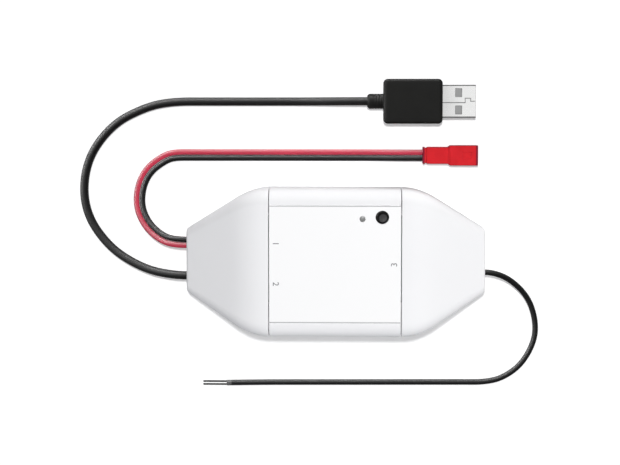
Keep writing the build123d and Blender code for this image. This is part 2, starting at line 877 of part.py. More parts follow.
# USB plug: moulded grip with its neck and the seat of the metal shell
usb_grip_start = usb_neck_start + usb_neck_length
usb_grip_front = usb_grip_start + usb_grip_length
usb_mouth = usb_grip_front + usb_shell_length
with BuildPart() as usb_grip:
    with BuildSketch():
        with Locations(((usb_grip_start + usb_grip_front) / 2, usb_y)):
            RectangleRounded(usb_grip_length, usb_grip_width, usb_grip_corner)
    extrude(amount=usb_grip_height)
    fillet(usb_grip.faces().filter_by(Axis.Z).edges(), usb_grip_rounding)
    with BuildSketch(Plane.YZ.offset(usb_neck_start)):
        with Locations((usb_y, usb_z)):
            Circle(usb_neck_diameter / 2)
    extrude(amount=usb_neck_length + usb_grip_corner)
    chamfer(usb_grip.faces().sort_by(Axis.X)[0].edges(), usb_neck_chamfer)
    with BuildSketch(Plane.YZ.offset(usb_grip_front)):
        with Locations((usb_y, usb_z)):
            RectangleRounded(
                usb_shell_width + 2 * moulding_gap,
                usb_shell_height + 2 * moulding_gap,
                usb_shell_corner + moulding_gap,
            )
    extrude(amount=-usb_shell_seat, mode=Mode.SUBTRACT)

usb_shell_start = usb_grip_front - usb_shell_seat
usb_shell_top = usb_z + usb_shell_height / 2
with BuildPart() as usb_shell:
    with BuildSketch(Plane.YZ.offset(usb_shell_start)):
        with Locations((usb_y, usb_z)):
            RectangleRounded(usb_shell_width, usb_shell_height, usb_shell_corner)
            RectangleRounded(
                usb_shell_width - 2 * usb_shell_wall,
                usb_shell_height - 2 * usb_shell_wall,
                usb_shell_corner - usb_shell_wall,
                mode=Mode.SUBTRACT,
            )
    extrude(amount=usb_shell_seat + usb_shell_length)
    with BuildSketch():
        with Locations(
            (usb_grip_front + usb_window_distance, usb_y - usb_window_offset),
            (usb_grip_front + usb_window_distance, usb_y + usb_window_offset),
        ):
            Rectangle(usb_window_length, usb_window_width)
    extrude(amount=usb_grip_height, mode=Mode.SUBTRACT)
    with BuildSketch(Plane.XY.offset(usb_shell_top - 2 * usb_shell_wall)):
        with BuildLine():
            Polyline(
                (usb_shell_start - overrun, usb_y + usb_seam_offset),
                (usb_grip_front + usb_seam_turn, usb_y + usb_seam_offset),
                (usb_grip_front + usb_seam_turn, usb_y + usb_seam_offset + usb_seam_step),
                (usb_grip_front + usb_seam_back, usb_y + usb_seam_offset + usb_seam_step),
                (usb_grip_front + usb_seam_back, usb_y),
                (usb_mouth + overrun, usb_y),
            )
            offset(amount=usb_seam_width / 2)
        make_face()
    extrude(amount=4 * usb_shell_wall, mode=Mode.SUBTRACT)

usb_tongue_top = usb_shell_top - usb_shell_wall - moulding_gap
usb_tongue_bottom = usb_tongue_top - usb_tongue_height
usb_tongue_end = usb_mouth - usb_tongue_setback
with BuildPart() as usb_tongue:
    with BuildSketch(Plane.XY.offset(usb_tongue_bottom)):
        with Locations(((usb_shell_start + usb_tongue_end) / 2, usb_y)):
            Rectangle(usb_tongue_end - usb_shell_start - 2 * moulding_gap, usb_tongue_width)
    extrude(amount=usb_tongue_height)

usb_contact_x = usb_tongue_end - usb_tongue_setback - usb_contact_length / 2
usb_contact_offsets = (-usb_outer_contact_y, -usb_inner_contact_y, usb_inner_contact_y, usb_outer_contact_y)
with BuildPart() as usb_contacts:
    with BuildSketch(Plane.XY.offset(usb_tongue_bottom)):
        with Locations(*[(usb_contact_x, usb_y + offset_y) for offset_y in usb_contact_offsets]):
            Rectangle(usb_contact_length, usb_contact_width)
    extrude(amount=-usb_contact_height)

# Sensor connector: a narrow rear with a lip, and a wider open front
connector_middle = connector_start + connector_rear_length
connector_mouth = connector_middle + connector_front_length
with BuildPart() as connector_housing:
    with BuildSketch(Plane.YZ.offset(connector_start)):
        with Locations((connector_y, connector_z)):
            Rectangle(connector_rear_width, connector_rear_height)
    extrude(amount=connector_rear_length)
    with BuildSketch(Plane.YZ.offset(connector_middle)):
        with Locations((connector_y, connector_z)):
            Rectangle(connector_front_width, connector_front_height)
    extrude(amount=connector_front_length)
    fillet(connector_housing.edges().filter_by(Axis.X), connector_rounding)
    with BuildSketch(Plane.YZ.offset(connector_start + connector_lip_length)):
        with Locations((connector_y, connector_z)):
            Rectangle(2 * connector_rear_width, 2 * connector_rear_height)
            RectangleRounded(
                connector_rear_width - 2 * connector_groove_depth,
                connector_rear_height - 2 * connector_groove_depth,
                connector_rounding,
                mode=Mode.SUBTRACT,
            )
    extrude(amount=connector_groove_length, mode=Mode.SUBTRACT)
    with BuildSketch(Plane.YZ.offset(connector_mouth)):
        with Locations((connector_y, connector_z)):
            Rectangle(
                connector_front_width - 2 * connector_wall, connector_front_height - 2 * connector_wall
            )
    extrude(amount=-connector_cavity_depth, mode=Mode.SUBTRACT)
    with BuildSketch(Plane.YZ.offset(connector_start)):
        with Locations(
            (connector_y - sensor_lead_pitch / 2, connector_z),
            (connector_y + sensor_lead_pitch / 2, connector_z),
        ):
            Circle(terminal_radius + snug)
    extrude(amount=connector_mouth - connector_start, mode=Mode.SUBTRACT)
    with BuildSketch(Plane.XY.offset(connector_front_height)):
        with Locations((connector_mouth - connector_latch_setback, connector_y)):
            Rectangle(connector_latch_length, connector_latch_width)
    extrude(amount=-connector_latch_depth, mode=Mode.SUBTRACT)

with BuildPart() as connector_terminals:
    with BuildSketch(Plane.YZ.offset(connector_start + terminal_inset)):
        with Locations(
            (connector_y - sensor_lead_pitch / 2, connector_z),
            (connector_y + sensor_lead_pitch / 2, connector_z),
        ):
            Circle(terminal_radius)
    extrude(amount=terminal_length)
    with BuildSketch(Plane.YZ.offset(connector_start + terminal_inset + terminal_length)):
        with Locations(
            (connector_y - sensor_lead_pitch / 2, connector_z),
            (connector_y + sensor_lead_pitch / 2, connector_z),
        ):
            Circle(terminal_bore_radius)
    extrude(amount=-terminal_length / 2, mode=Mode.SUBTRACT)

pieces = {
    "base_tray": base_tray,
    "center_cover": center_cover,
    "left_end_cover": left_end_cover,
    "right_end_cover": right_end_cover,
    "label": label,
    "case_screws": case_screws,
    "main_board": main_board,
    "board_screws": board_screws,
    "button_cap": button_cap,
    "switch_plunger": switch_plunger,
    "switch_body": switch_body,
    "status_light": status_light,
    "light_pipe": light_pipe,
    "wireless_module": wireless_module,
    "module_shield": module_shield,
    "output_relay": output_relay,
    "voltage_regulator": voltage_regulator,
    "power_choke": power_choke,
    "filter_capacitors": filter_capacitors,
    "chip_parts": chip_parts,
    "power_header": power_header,
    "sensor_header": sensor_header,
    "signal_header": signal_header,
    "power_board_plug": power_board_plug,
    "sensor_board_plug": sensor_board_plug,
    "signal_board_plug": signal_board_plug,
    "power_inner_end": power_inner_end,
    "sensor_inner_end": sensor_inner_end,
    "signal_inner_end": signal_inner_end,
    "left_clamp": left_clamp,
    "right_clamp": right_clamp,
    "clamp_screws": clamp_screws,
    "power_cable": power_cable,
    "sensor_lead_red": sensor_lead_red,
    "sensor_lead_black": sensor_lead_black,
    "signal_cable": signal_cable,
    "signal_core_upper": signal_core_upper,
    "signal_core_lower": signal_core_lower,
    "usb_grip": usb_grip,
    "usb_shell": usb_shell,
    "usb_tongue": usb_tongue,
    "usb_contacts": usb_contacts,
    "connector_housing": connector_housing,
    "connector_terminals": connector_terminals,
}

os.makedirs("parts", exist_ok=True)
for name, piece in pieces.items():
    piece.part.label = name
    export_step(piece.part, f"parts/{name}.step")
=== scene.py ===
"""Looks of a garage door controller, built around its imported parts.

Lengths here are in millimetres, and MM turns them into the metres of the frame.
"""

import logging
import math
from dataclasses import dataclass, field
from enum import Enum
from typing import Callable, Optional, Sequence

import bmesh
import bpy
import numpy as np
from mathutils import Matrix, Vector


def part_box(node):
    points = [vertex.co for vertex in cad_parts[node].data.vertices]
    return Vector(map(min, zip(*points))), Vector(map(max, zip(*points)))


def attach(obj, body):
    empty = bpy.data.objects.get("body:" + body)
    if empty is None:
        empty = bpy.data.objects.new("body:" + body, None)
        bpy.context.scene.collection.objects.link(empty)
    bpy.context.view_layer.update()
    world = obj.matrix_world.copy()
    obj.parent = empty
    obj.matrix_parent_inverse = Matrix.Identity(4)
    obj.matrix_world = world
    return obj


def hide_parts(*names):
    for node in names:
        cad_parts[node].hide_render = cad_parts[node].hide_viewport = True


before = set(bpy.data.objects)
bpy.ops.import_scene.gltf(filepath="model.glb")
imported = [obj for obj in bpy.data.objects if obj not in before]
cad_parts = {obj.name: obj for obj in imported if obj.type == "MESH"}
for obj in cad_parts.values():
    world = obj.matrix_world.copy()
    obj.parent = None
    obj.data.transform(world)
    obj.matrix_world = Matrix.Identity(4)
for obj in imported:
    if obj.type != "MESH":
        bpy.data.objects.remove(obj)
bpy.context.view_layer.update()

MM = 0.001
WELD = 0.0001
SMOOTH_LIMIT = 32.0
ROLLED_LIMIT = 40.0
FLAT_LIMIT = 0.1

logging.basicConfig(level=logging.INFO, format="%(message)s")
log = logging.getLogger("controller")


class Body(Enum):
    """The two bodies that pieces ride on."""

    HOUSING = "housing"
    BUTTON = "button"


class FarEnd(Enum):
    """What a cord ends in."""

    PLUG = "plug"
    CONNECTOR = "connector"
    BARE = "bare"


class Flex(Enum):
    """How easily a cord bends."""

    LIMP = "limp"
    MEDIUM = "medium"


class Graph:
    """A node tree with short calls for adding and linking nodes."""

    def __init__(self, tree: bpy.types.NodeTree) -> None:
        """Takes an empty tree."""
        self.tree = tree
        self.count = 0

    def node(self, kind: str, inputs: Optional[dict] = None, **settings: object) -> bpy.types.Node:
        """Adds one node.

        Args:
            kind: the node's type name.
            inputs: sockets to link or values to set, by the input's name or number.
            settings: other properties of the node.

        Returns:
            The new node.
        """
        made = self.tree.nodes.new(kind)
        made.location = (190 * (self.count % 8), -220 * (self.count // 8))
        self.count += 1
        for name, value in settings.items():
            setattr(made, name, value)
        for name, value in (inputs or {}).items():
            if isinstance(value, bpy.types.NodeSocket):
                self.tree.links.new(value, made.inputs[name])
            else:
                made.inputs[name].default_value = value
        return made

    def math(self, operation: str, first: object, second: object) -> bpy.types.NodeSocket:
        """Adds a math node of two values and returns its result."""
        return self.node("ShaderNodeMath", {0: first, 1: second}, operation=operation).outputs[0]

    def spread(
        self, value: object, low: float, high: float, to_low: object, to_high: object
    ) -> bpy.types.NodeSocket:
        """Maps a value from one range to another and returns it, kept inside the second range."""
        inputs = {"Value": value, "From Min": low, "From Max": high, "To Min": to_low, "To Max": to_high}
        return self.node("ShaderNodeMapRange", inputs).outputs["Result"]

    def mix(self, share: object, first: object, second: object) -> bpy.types.NodeSocket:
        """Mixes two colours by a share and returns the colour."""
        return self.node("ShaderNodeMix", {0: share, 6: first, 7: second}, data_type="RGBA").outputs[2]

    def distance(self, first: object, second: object) -> bpy.types.NodeSocket:
        """Returns the distance between two places."""
        return self.node("ShaderNodeVectorMath", {0: first, 1: second}, operation="DISTANCE").outputs["Value"]

    def leaning(self, level: float, steep: float) -> bpy.types.NodeSocket:
        """Measures how far the surface leans, by the upright part of its normal.

        Args:
            level: the upright part at which the result is 0.
            steep: the upright part at which the result is 1.

        Returns:
            The measure.
        """
        normal = self.node("ShaderNodeTexCoord").outputs["Normal"]
        upright = self.math("ABSOLUTE", self.node("ShaderNodeSeparateXYZ", {0: normal}).outputs[2], 0.0)
        return self.spread(upright, steep, level, 1.0, 0.0)

    def place(self, scale: tuple[float, float, float] = (1.0, 1.0, 1.0)) -> bpy.types.NodeSocket:
        """Returns the object coordinates, stretched by the scale."""
        source = self.node("ShaderNodeTexCoord").outputs["Object"]
        return self.node("ShaderNodeMapping", {"Vector": source, "Scale": scale}).outputs["Vector"]


class Effects:
    """Node groups that several finishes share."""

    def __init__(self) -> None:
        """Builds each group once."""
        self.grain = self.build_grain()
        self.drift = self.build_drift()
        self.handling = self.build_handling()
        self.streaks = self.build_streaks()
        self.rubbing = self.build_rubbing()

    def start(self, name: str, inputs: dict, outputs: dict) -> tuple[Graph, bpy.types.Node, bpy.types.Node]:
        """Opens a group with named sockets.

        Args:
            name: the group's name.
            inputs: default values of the inputs by name, where four numbers mean a colour.
            outputs: socket types of the outputs by name.

        Returns:
            The graph, its input node and its output node.
        """
        tree = bpy.data.node_groups.new(name, "ShaderNodeTree")
        for label, value in inputs.items():
            kind = "NodeSocketColor" if isinstance(value, tuple) else "NodeSocketFloat"
            tree.interface.new_socket(name=label, in_out="INPUT", socket_type=kind).default_value = value
        for label, kind in outputs.items():
            tree.interface.new_socket(name=label, in_out="OUTPUT", socket_type=kind)
        graph = Graph(tree)
        return graph, graph.node("NodeGroupInput"), graph.node("NodeGroupOutput")

    def build_grain(self) -> bpy.types.NodeTree:
        """Height of a moulding's fine spark-eroded grain: soft noise with small pits in it.

        Returns:
            The group, which puts out a height.
        """
        graph, given, result = self.start(
            "fine_grain", {"Scale": 9000.0, "Pits": 0.4}, {"Height": "NodeSocketFloat"}
        )
        place = graph.place()
        inputs = {"Vector": place, "Scale": given.outputs["Scale"], "Detail": 3.0, "Roughness": 0.62}
        soft = graph.node("ShaderNodeTexNoise", inputs).outputs[0]
        cells = graph.node("ShaderNodeTexVoronoi", {"Vector": place, "Scale": given.outputs["Scale"]})
        pits = graph.math("MULTIPLY", cells.outputs["Distance"], given.outputs["Pits"])
        graph.tree.links.new(graph.math("ADD", soft, pits), result.inputs["Height"])
        return graph.tree

    def build_drift(self) -> bpy.types.NodeTree:
        """A colour that drifts a little lighter and darker over the surface.

        Returns:
            The group, which puts out a colour.
        """
        graph, given, result = self.start(
            "tone_drift",
            {"Color": (0.5, 0.5, 0.5, 1.0), "Scale": 60.0, "Amount": 0.03},
            {"Color": "NodeSocketColor"},
        )
        inputs = {"Vector": graph.place(), "Scale": given.outputs["Scale"], "Detail": 4.0}
        noise = graph.node("ShaderNodeTexNoise", inputs).outputs[0]
        low = graph.math("SUBTRACT", 1.0, given.outputs["Amount"])
        high = graph.math("ADD", 1.0, given.outputs["Amount"])
        factor = graph.spread(noise, 0.3, 0.7, low, high)
        scaled = graph.node(
            "ShaderNodeVectorMath", {0: given.outputs["Color"], "Scale": factor}, operation="SCALE"
        )
        graph.tree.links.new(scaled.outputs[0], result.inputs["Color"])
        return graph.tree

    def build_handling(self) -> bpy.types.NodeTree:
        """A roughness with the soft smudges of a handled surface.

        Returns:
            The group, which puts out a roughness.
        """
        graph, given, result = self.start(
            "handling", {"Roughness": 0.4, "Scale": 90.0, "Amount": 0.08}, {"Roughness": "NodeSocketFloat"}
        )
        inputs = {"Vector": graph.place(), "Scale": given.outputs["Scale"], "Detail": 5.0, "Distortion": 0.6}
        noise = graph.node("ShaderNodeTexNoise", inputs).outputs[0]
        centred = graph.math("SUBTRACT", noise, 0.5)
        shift = graph.math("MULTIPLY", centred, given.outputs["Amount"])
        graph.tree.links.new(graph.math("ADD", given.outputs["Roughness"], shift), result.inputs["Roughness"])
        return graph.tree

    def build_streaks(self) -> bpy.types.NodeTree:
        """Fine lines along X, as rolled or drawn metal and extruded sheaths have.

        Returns:
            The group, which puts out a mask.
        """
        graph, given, result = self.start(
            "drawn_streaks", {"Scale": 4000.0, "Length": 0.02}, {"Lines": "NodeSocketFloat"}
        )
        source = graph.place()
        parts = graph.node("ShaderNodeSeparateXYZ", {0: source}).outputs
        along = graph.math("MULTIPLY", parts[0], given.outputs["Length"])
        stretched = graph.node("ShaderNodeCombineXYZ", {0: along, 1: parts[1], 2: parts[2]}).outputs[0]
        inputs = {"Vector": stretched, "Scale": given.outputs["Scale"], "Detail": 4.0, "Roughness": 0.7}
        lines = graph.node("ShaderNodeTexNoise", inputs).outputs[0]
        graph.tree.links.new(lines, result.inputs["Lines"])
        return graph.tree

    def build_rubbing(self) -> bpy.types.NodeTree:
        """A colour that pales where edges stand out and are rubbed.

        Returns:
            The group, which puts out a colour.
        """
        graph, given, result = self.start(
            "rubbed_edges",
            {"Color": (0.1, 0.1, 0.1, 1.0), "Rubbed": (0.2, 0.2, 0.2, 1.0), "Amount": 0.5},
            {"Color": "NodeSocketColor"},
        )
        edges = graph.spread(graph.node("ShaderNodeNewGeometry").outputs["Pointiness"], 0.52, 0.6, 0.0, 1.0)
        noise = graph.node("ShaderNodeTexNoise", {"Vector": graph.place(), "Scale": 700.0, "Detail": 3.0})
        broken = graph.math("MULTIPLY", edges, graph.spread(noise.outputs[0], 0.4, 0.65, 0.2, 1.0))
        share = graph.math("MULTIPLY", broken, given.outputs["Amount"])
        mixed = graph.mix(share, given.outputs["Color"], given.outputs["Rubbed"])
        graph.tree.links.new(mixed, result.inputs["Color"])
        return graph.tree


@dataclass(frozen=True)
class Finish:
    """A surface finish: a colour that drifts, a handled roughness and a fine grain."""

    slot: str
    color: tuple[float, float, float]
    roughness: float
    grain_scale: float = 9000.0
    grain_depth: float = 0.004
    pits: float = 0.4
    drift: float = 0.02
    drift_scale: float = 60.0
    smudge: float = 0.08
    gloss: float = 0.5
    coat: float = 0.0
    packed: bool = True

    def build(self, effects: Effects) -> bpy.types.Material:
        """Builds the material.

        Args:
            effects: the shared node groups.

        Returns:
            The new material.
        """
        material = bpy.data.materials.new(self.slot + "_finish")
        material.use_nodes = True
        material.node_tree.nodes.clear()
        graph = Graph(material.node_tree)
        shader = graph.node("ShaderNodeBsdfPrincipled")
        shader.inputs["Specular IOR Level"].default_value = self.gloss
        shader.inputs["Coat Weight"].default_value = self.coat
        shader.inputs["Coat Roughness"].default_value = 0.12
        graph.tree.links.new(self.tint(graph, effects), shader.inputs["Base Color"])
        graph.tree.links.new(self.polish(graph, effects), shader.inputs["Roughness"])
        graph.tree.links.new(self.relief(graph, effects), shader.inputs["Normal"])
        self.special(graph, shader)
        graph.node("ShaderNodeOutputMaterial", {"Surface": shader.outputs[0]})
        return material

    def rgba(self) -> tuple[float, float, float, float]:
        """Returns the colour with full alpha."""
        return (*self.color, 1.0)

    def use(self, graph: Graph, tree: bpy.types.NodeTree, inputs: dict) -> bpy.types.NodeSocket:
        """Places a shared group in the material.

        Args:
            graph: the material's graph.
            tree: the shared group.
            inputs: sockets to link or values to set, by the input's name.

        Returns:
            The placed group's first output.
        """
        placed = graph.node("ShaderNodeGroup", node_tree=tree)
        for name, value in inputs.items():
            if isinstance(value, bpy.types.NodeSocket):
                graph.tree.links.new(value, placed.inputs[name])
            else:
                placed.inputs[name].default_value = value
        return placed.outputs[0]

    def tint(self, graph: Graph, effects: Effects) -> bpy.types.NodeSocket:
        """Returns the colour over the surface."""
        values = {"Color": self.rgba(), "Scale": self.drift_scale, "Amount": self.drift}
        return self.use(graph, effects.drift, values)

    def polish(self, graph: Graph, effects: Effects) -> bpy.types.NodeSocket:
        """Returns the roughness over the surface."""
        return self.use(graph, effects.handling, {"Roughness": self.roughness, "Amount": self.smudge})

    def relief(self, graph: Graph, effects: Effects) -> bpy.types.NodeSocket:
        """Bumps the normal by the grain.

        Args:
            graph: the material's graph.
            effects: the shared node groups.

        Returns:
            The normal.
        """
        height = self.use(graph, effects.grain, {"Scale": self.grain_scale, "Pits": self.pits})
        bump = {"Height": height, "Distance": self.grain_depth * MM, "Strength": 1.0}
        return graph.node("ShaderNodeBump", bump).outputs["Normal"]

    def special(self, graph: Graph, shader: bpy.types.Node) -> None:
        """Sets what only one kind of finish has; nothing here."""


@dataclass(frozen=True)
class WornPlastic(Finish):
    """Moulded plastic or rubber whose edges are rubbed a little paler."""

    rubbed: tuple[float, float, float] = (0.2, 0.2, 0.2)
    wear: float = 0.5
    inner_glow: float = 0.0

    def tint(self, graph: Graph, effects: Effects) -> bpy.types.NodeSocket:
        """Gives the drifting colour paler edges.

        Args:
            graph: the material's graph.
            effects: the shared node groups.

        Returns:
            The colour.
        """
        base = super().tint(graph, effects)
        values = {"Color": base, "Rubbed": (*self.rubbed, 1.0), "Amount": self.wear}
        return self.use(graph, effects.rubbing, values)

    def special(self, graph: Graph, shader: bpy.types.Node) -> None:
        """Lets a little light into the plastic."""
        shader.inputs["Subsurface Weight"].default_value = self.inner_glow
        shader.inputs["Subsurface Scale"].default_value = MM


@dataclass(frozen=True)
class Sheath(Finish):
    """Extruded cable sheath, with faint lines drawn along it."""

    line_depth: float = 0.01

    def relief(self, graph: Graph, effects: Effects) -> bpy.types.NodeSocket:
        """Bumps the normal by slow waves in the sheath and by its grain.

        Args:
            graph: the material's graph.
            effects: the shared node groups.

        Returns:
            The normal.
        """
        waves = graph.node("ShaderNodeTexNoise", {"Vector": graph.place(), "Scale": 420.0, "Detail": 2.0})
        bump = {"Height": waves.outputs[0], "Distance": self.line_depth * MM, "Strength": 1.0}
        slow = graph.node("ShaderNodeBump", bump).outputs["Normal"]
        height = self.use(graph, effects.grain, {"Scale": self.grain_scale, "Pits": self.pits})
        fine = {"Height": height, "Distance": self.grain_depth * MM, "Strength": 1.0, "Normal": slow}
        return graph.node("ShaderNodeBump", fine).outputs["Normal"]


@dataclass(frozen=True)
class CutSheath(Sheath):
    """Sheath whose cut end is stretched pale, as stripping leaves it."""

    pale: tuple[float, float, float] = (0.13, 0.13, 0.13)
    stretched: tuple[float, float] = (-39.3, -38.6)

    def tint(self, graph: Graph, effects: Effects) -> bpy.types.NodeSocket:
        """Gives the sheath its pale end, broken up by noise.

        Args:
            graph: the material's graph.
            effects: the shared node groups.

        Returns:
            The colour.
        """
        base = super().tint(graph, effects)
        along = graph.node("ShaderNodeSeparateXYZ", {0: graph.place()}).outputs[0]
        start, end = (place * MM for place in self.stretched)
        reach = graph.spread(along, start, end, 1.0, 0.0)
        noise = graph.node("ShaderNodeTexNoise", {"Vector": graph.place(), "Scale": 1800.0, "Detail": 2.0})
        share = graph.math("MULTIPLY", reach, graph.spread(noise.outputs[0], 0.35, 0.6, 0.45, 1.0))
        return graph.mix(share, base, (*self.pale, 1.0))


@dataclass(frozen=True)
class PlatedMetal(Finish):
    """Plated or rolled metal, with fine streaks in its polish."""

    streak: float = 0.12

    def polish(self, graph: Graph, effects: Effects) -> bpy.types.NodeSocket:
        """Breaks the roughness up by the streaks.

        Args:
            graph: the material's graph.
            effects: the shared node groups.

        Returns:
            The roughness.
        """
        base = super().polish(graph, effects)
        lines = self.use(graph, effects.streaks, {"Scale": 3000.0, "Length": 0.03})
        shift = graph.math("MULTIPLY", graph.math("SUBTRACT", lines, 0.5), self.streak)
        return graph.math("ADD", base, shift)

    def special(self, graph: Graph, shader: bpy.types.Node) -> None:
        """Makes the surface metal."""
        shader.inputs["Metallic"].default_value = 1.0


@dataclass(frozen=True)
class BentSheet(PlatedMetal):
    """Plated sheet with painted shade in its bends, on its rolled edges and on its sides, where it is dark
    and not metal.
    """

    bend_shade_color: tuple[float, float, float] = (0.1, 0.1, 0.1)
    axis: float = 57.8
    bends: tuple[float, float] = (5.5, 5.65)
    rolled_lean: tuple[float, float] = (0.97, 0.75)
    grip_end_span: tuple[float, float] = (39.0, 46.0)
    grip_end_tone: float = 0.8

    def tint(self, graph: Graph, effects: Effects) -> bpy.types.NodeSocket:
        """Paints shade dark in the bends and on the rolled edges, and makes the colour a little darker where
        the grip begins.

        Args:
            graph: the material's graph.
            effects: the shared node groups.

        Returns:
            The colour.
        """
        base = super().tint(graph, effects)
        along = graph.node("ShaderNodeSeparateXYZ", {0: graph.place()}).outputs[0]
        # The colour grows a little darker towards the grip.
        start, end = (place * MM for place in self.grip_end_span)
        tone = graph.spread(along, start, end, self.grip_end_tone, 1.0)
        toned = graph.node("ShaderNodeVectorMath", {0: base, "Scale": tone}, operation="SCALE").outputs[0]
        # Painted shade: a dark colour in the bends, on the rolled edges and on the sides.
        return graph.mix(self.painted_edge_shade(graph), toned, (*self.bend_shade_color, 1.0))

    def painted_edge_shade(self, graph: Graph) -> bpy.types.NodeSocket:
        """Finds the painted shade: on rolled edges, and beyond the start of the long bends.

        Args:
            graph: the material's graph.

        Returns:
            The mask.
        """
        across = graph.node("ShaderNodeSeparateXYZ", {0: graph.place()}).outputs[1]
        reach = graph.math("ABSOLUTE", graph.math("SUBTRACT", across, self.axis * MM), 0.0)
        start, end = (place * MM for place in self.bends)
        bend_shade = graph.spread(reach, start, end, 0.0, 1.0)
        return graph.math("MAXIMUM", graph.leaning(*self.rolled_lean), bend_shade)

    def special(self, graph: Graph, shader: bpy.types.Node) -> None:
        """Makes the flat parts metal and leaves the painted shade dull, not metal."""
        flat = graph.math("SUBTRACT", 1.0, self.painted_edge_shade(graph))
        graph.tree.links.new(flat, shader.inputs["Metallic"])


@dataclass(frozen=True)
class PaintedShadePlastic(WornPlastic):
    """Tinted plastic with painted shade where it leans away, at its rear lip and round its mouth."""

    shade: tuple[float, float, float] = (0.14, 0.012, 0.03)
    painted_shade_share: float = 0.85
    side_lean: tuple[float, float] = (0.9, 0.5)
    mouth: tuple[float, float] = (51.05, 51.3)
    rear: tuple[float, float] = (32.5, 32.3)

    def tint(self, graph: Graph, effects: Effects) -> bpy.types.NodeSocket:
        """Mixes the painted shade into the worn colour.

        Args:
            graph: the material's graph.
            effects: the shared node groups.

        Returns:
            The colour.
        """
        base = super().tint(graph, effects)
        along = graph.node("ShaderNodeSeparateXYZ", {0: graph.place()}).outputs[0]
        painted_shade_mask = graph.leaning(*self.side_lean)
        for start, end in (self.mouth, self.rear):
            painted_shade_mask = graph.math("MAXIMUM", painted_shade_mask, graph.spread(along, start * MM, end * MM, 0.0, 1.0))
        # Painted shade on the leaning faces, round the mouth and at the rear lip.
        share = graph.math("MULTIPLY", painted_shade_mask, self.painted_shade_share)
        return graph.mix(share, base, (*self.shade, 1.0))


@dataclass(frozen=True)
class PaintedLightCap(Finish):
    """A black cap with a paler patch set off its middle: painted light, which leaves a black crescent beside
    it as a painted shadow of the bore's rim.
    """

    lit_patch_color: tuple[float, float, float] = (0.042, 0.042, 0.043)
    centre: tuple[float, float] = (17.1, 16.45)
    patch: tuple[float, float] = (1.3, 1.6)

    def tint(self, graph: Graph, effects: Effects) -> bpy.types.NodeSocket:
        """Adds the painted light patch, which is all that lies nearer its centre than its radius.

        Args:
            graph: the material's graph.
            effects: the shared node groups.

        Returns:
            The colour.
        """
        base = super().tint(graph, effects)
        middle = (self.centre[0] * MM, self.centre[1] * MM, 0.0)
        reach = graph.distance(graph.place((1.0, 1.0, 0.0)), middle)
        share = graph.spread(reach, self.patch[0] * MM, self.patch[1] * MM, 1.0, 0.0)
        # Painted light: the paler patch. The black crescent left beside it is painted shadow.
        return graph.mix(share, base, (*self.lit_patch_color, 1.0))


@dataclass(frozen=True)
class FrostedClear(Finish):
    """Clear plastic with a frosted skin."""

    clearness: float = 0.85

    def special(self, graph: Graph, shader: bpy.types.Node) -> None:
        """Lets light through."""
        shader.inputs["Transmission Weight"].default_value = self.clearness
        shader.inputs["IOR"].default_value = 1.49


@dataclass(frozen=True)
class SolderMask(Finish):
    """Board lacquer with copper tracks under it and round tinned pads."""

    track: tuple[float, float, float] = (0.02, 0.16, 0.06)
    pad: tuple[float, float, float] = (0.62, 0.6, 0.55)

    def tint(self, graph: Graph, effects: Effects) -> bpy.types.NodeSocket:
        """Draws tracks as steps of a bent wave, and pads as the centres of cells.

        Args:
            graph: the material's graph.
            effects: the shared node groups.

        Returns:
            The colour.
        """
        base = super().tint(graph, effects)
        bend_shade = {"Vector": graph.place(), "Scale": 260.0, "Distortion": 3.0, "Detail": 0.0}
        wave = graph.node("ShaderNodeTexWave", bend_shade, wave_profile="TRI").outputs["Fac"]
        tracks = graph.spread(wave, 0.62, 0.66, 0.0, 1.0)
        spaced = {"Vector": graph.place(), "Scale": 330.0, "Randomness": 0.35}
        cells = graph.node("ShaderNodeTexVoronoi", spaced)
        pads = graph.spread(cells.outputs["Distance"], 0.12, 0.14, 1.0, 0.0)
        tracked = graph.mix(tracks, base, (*self.track, 1.0))
        return graph.mix(pads, tracked, (*self.pad, 1.0))


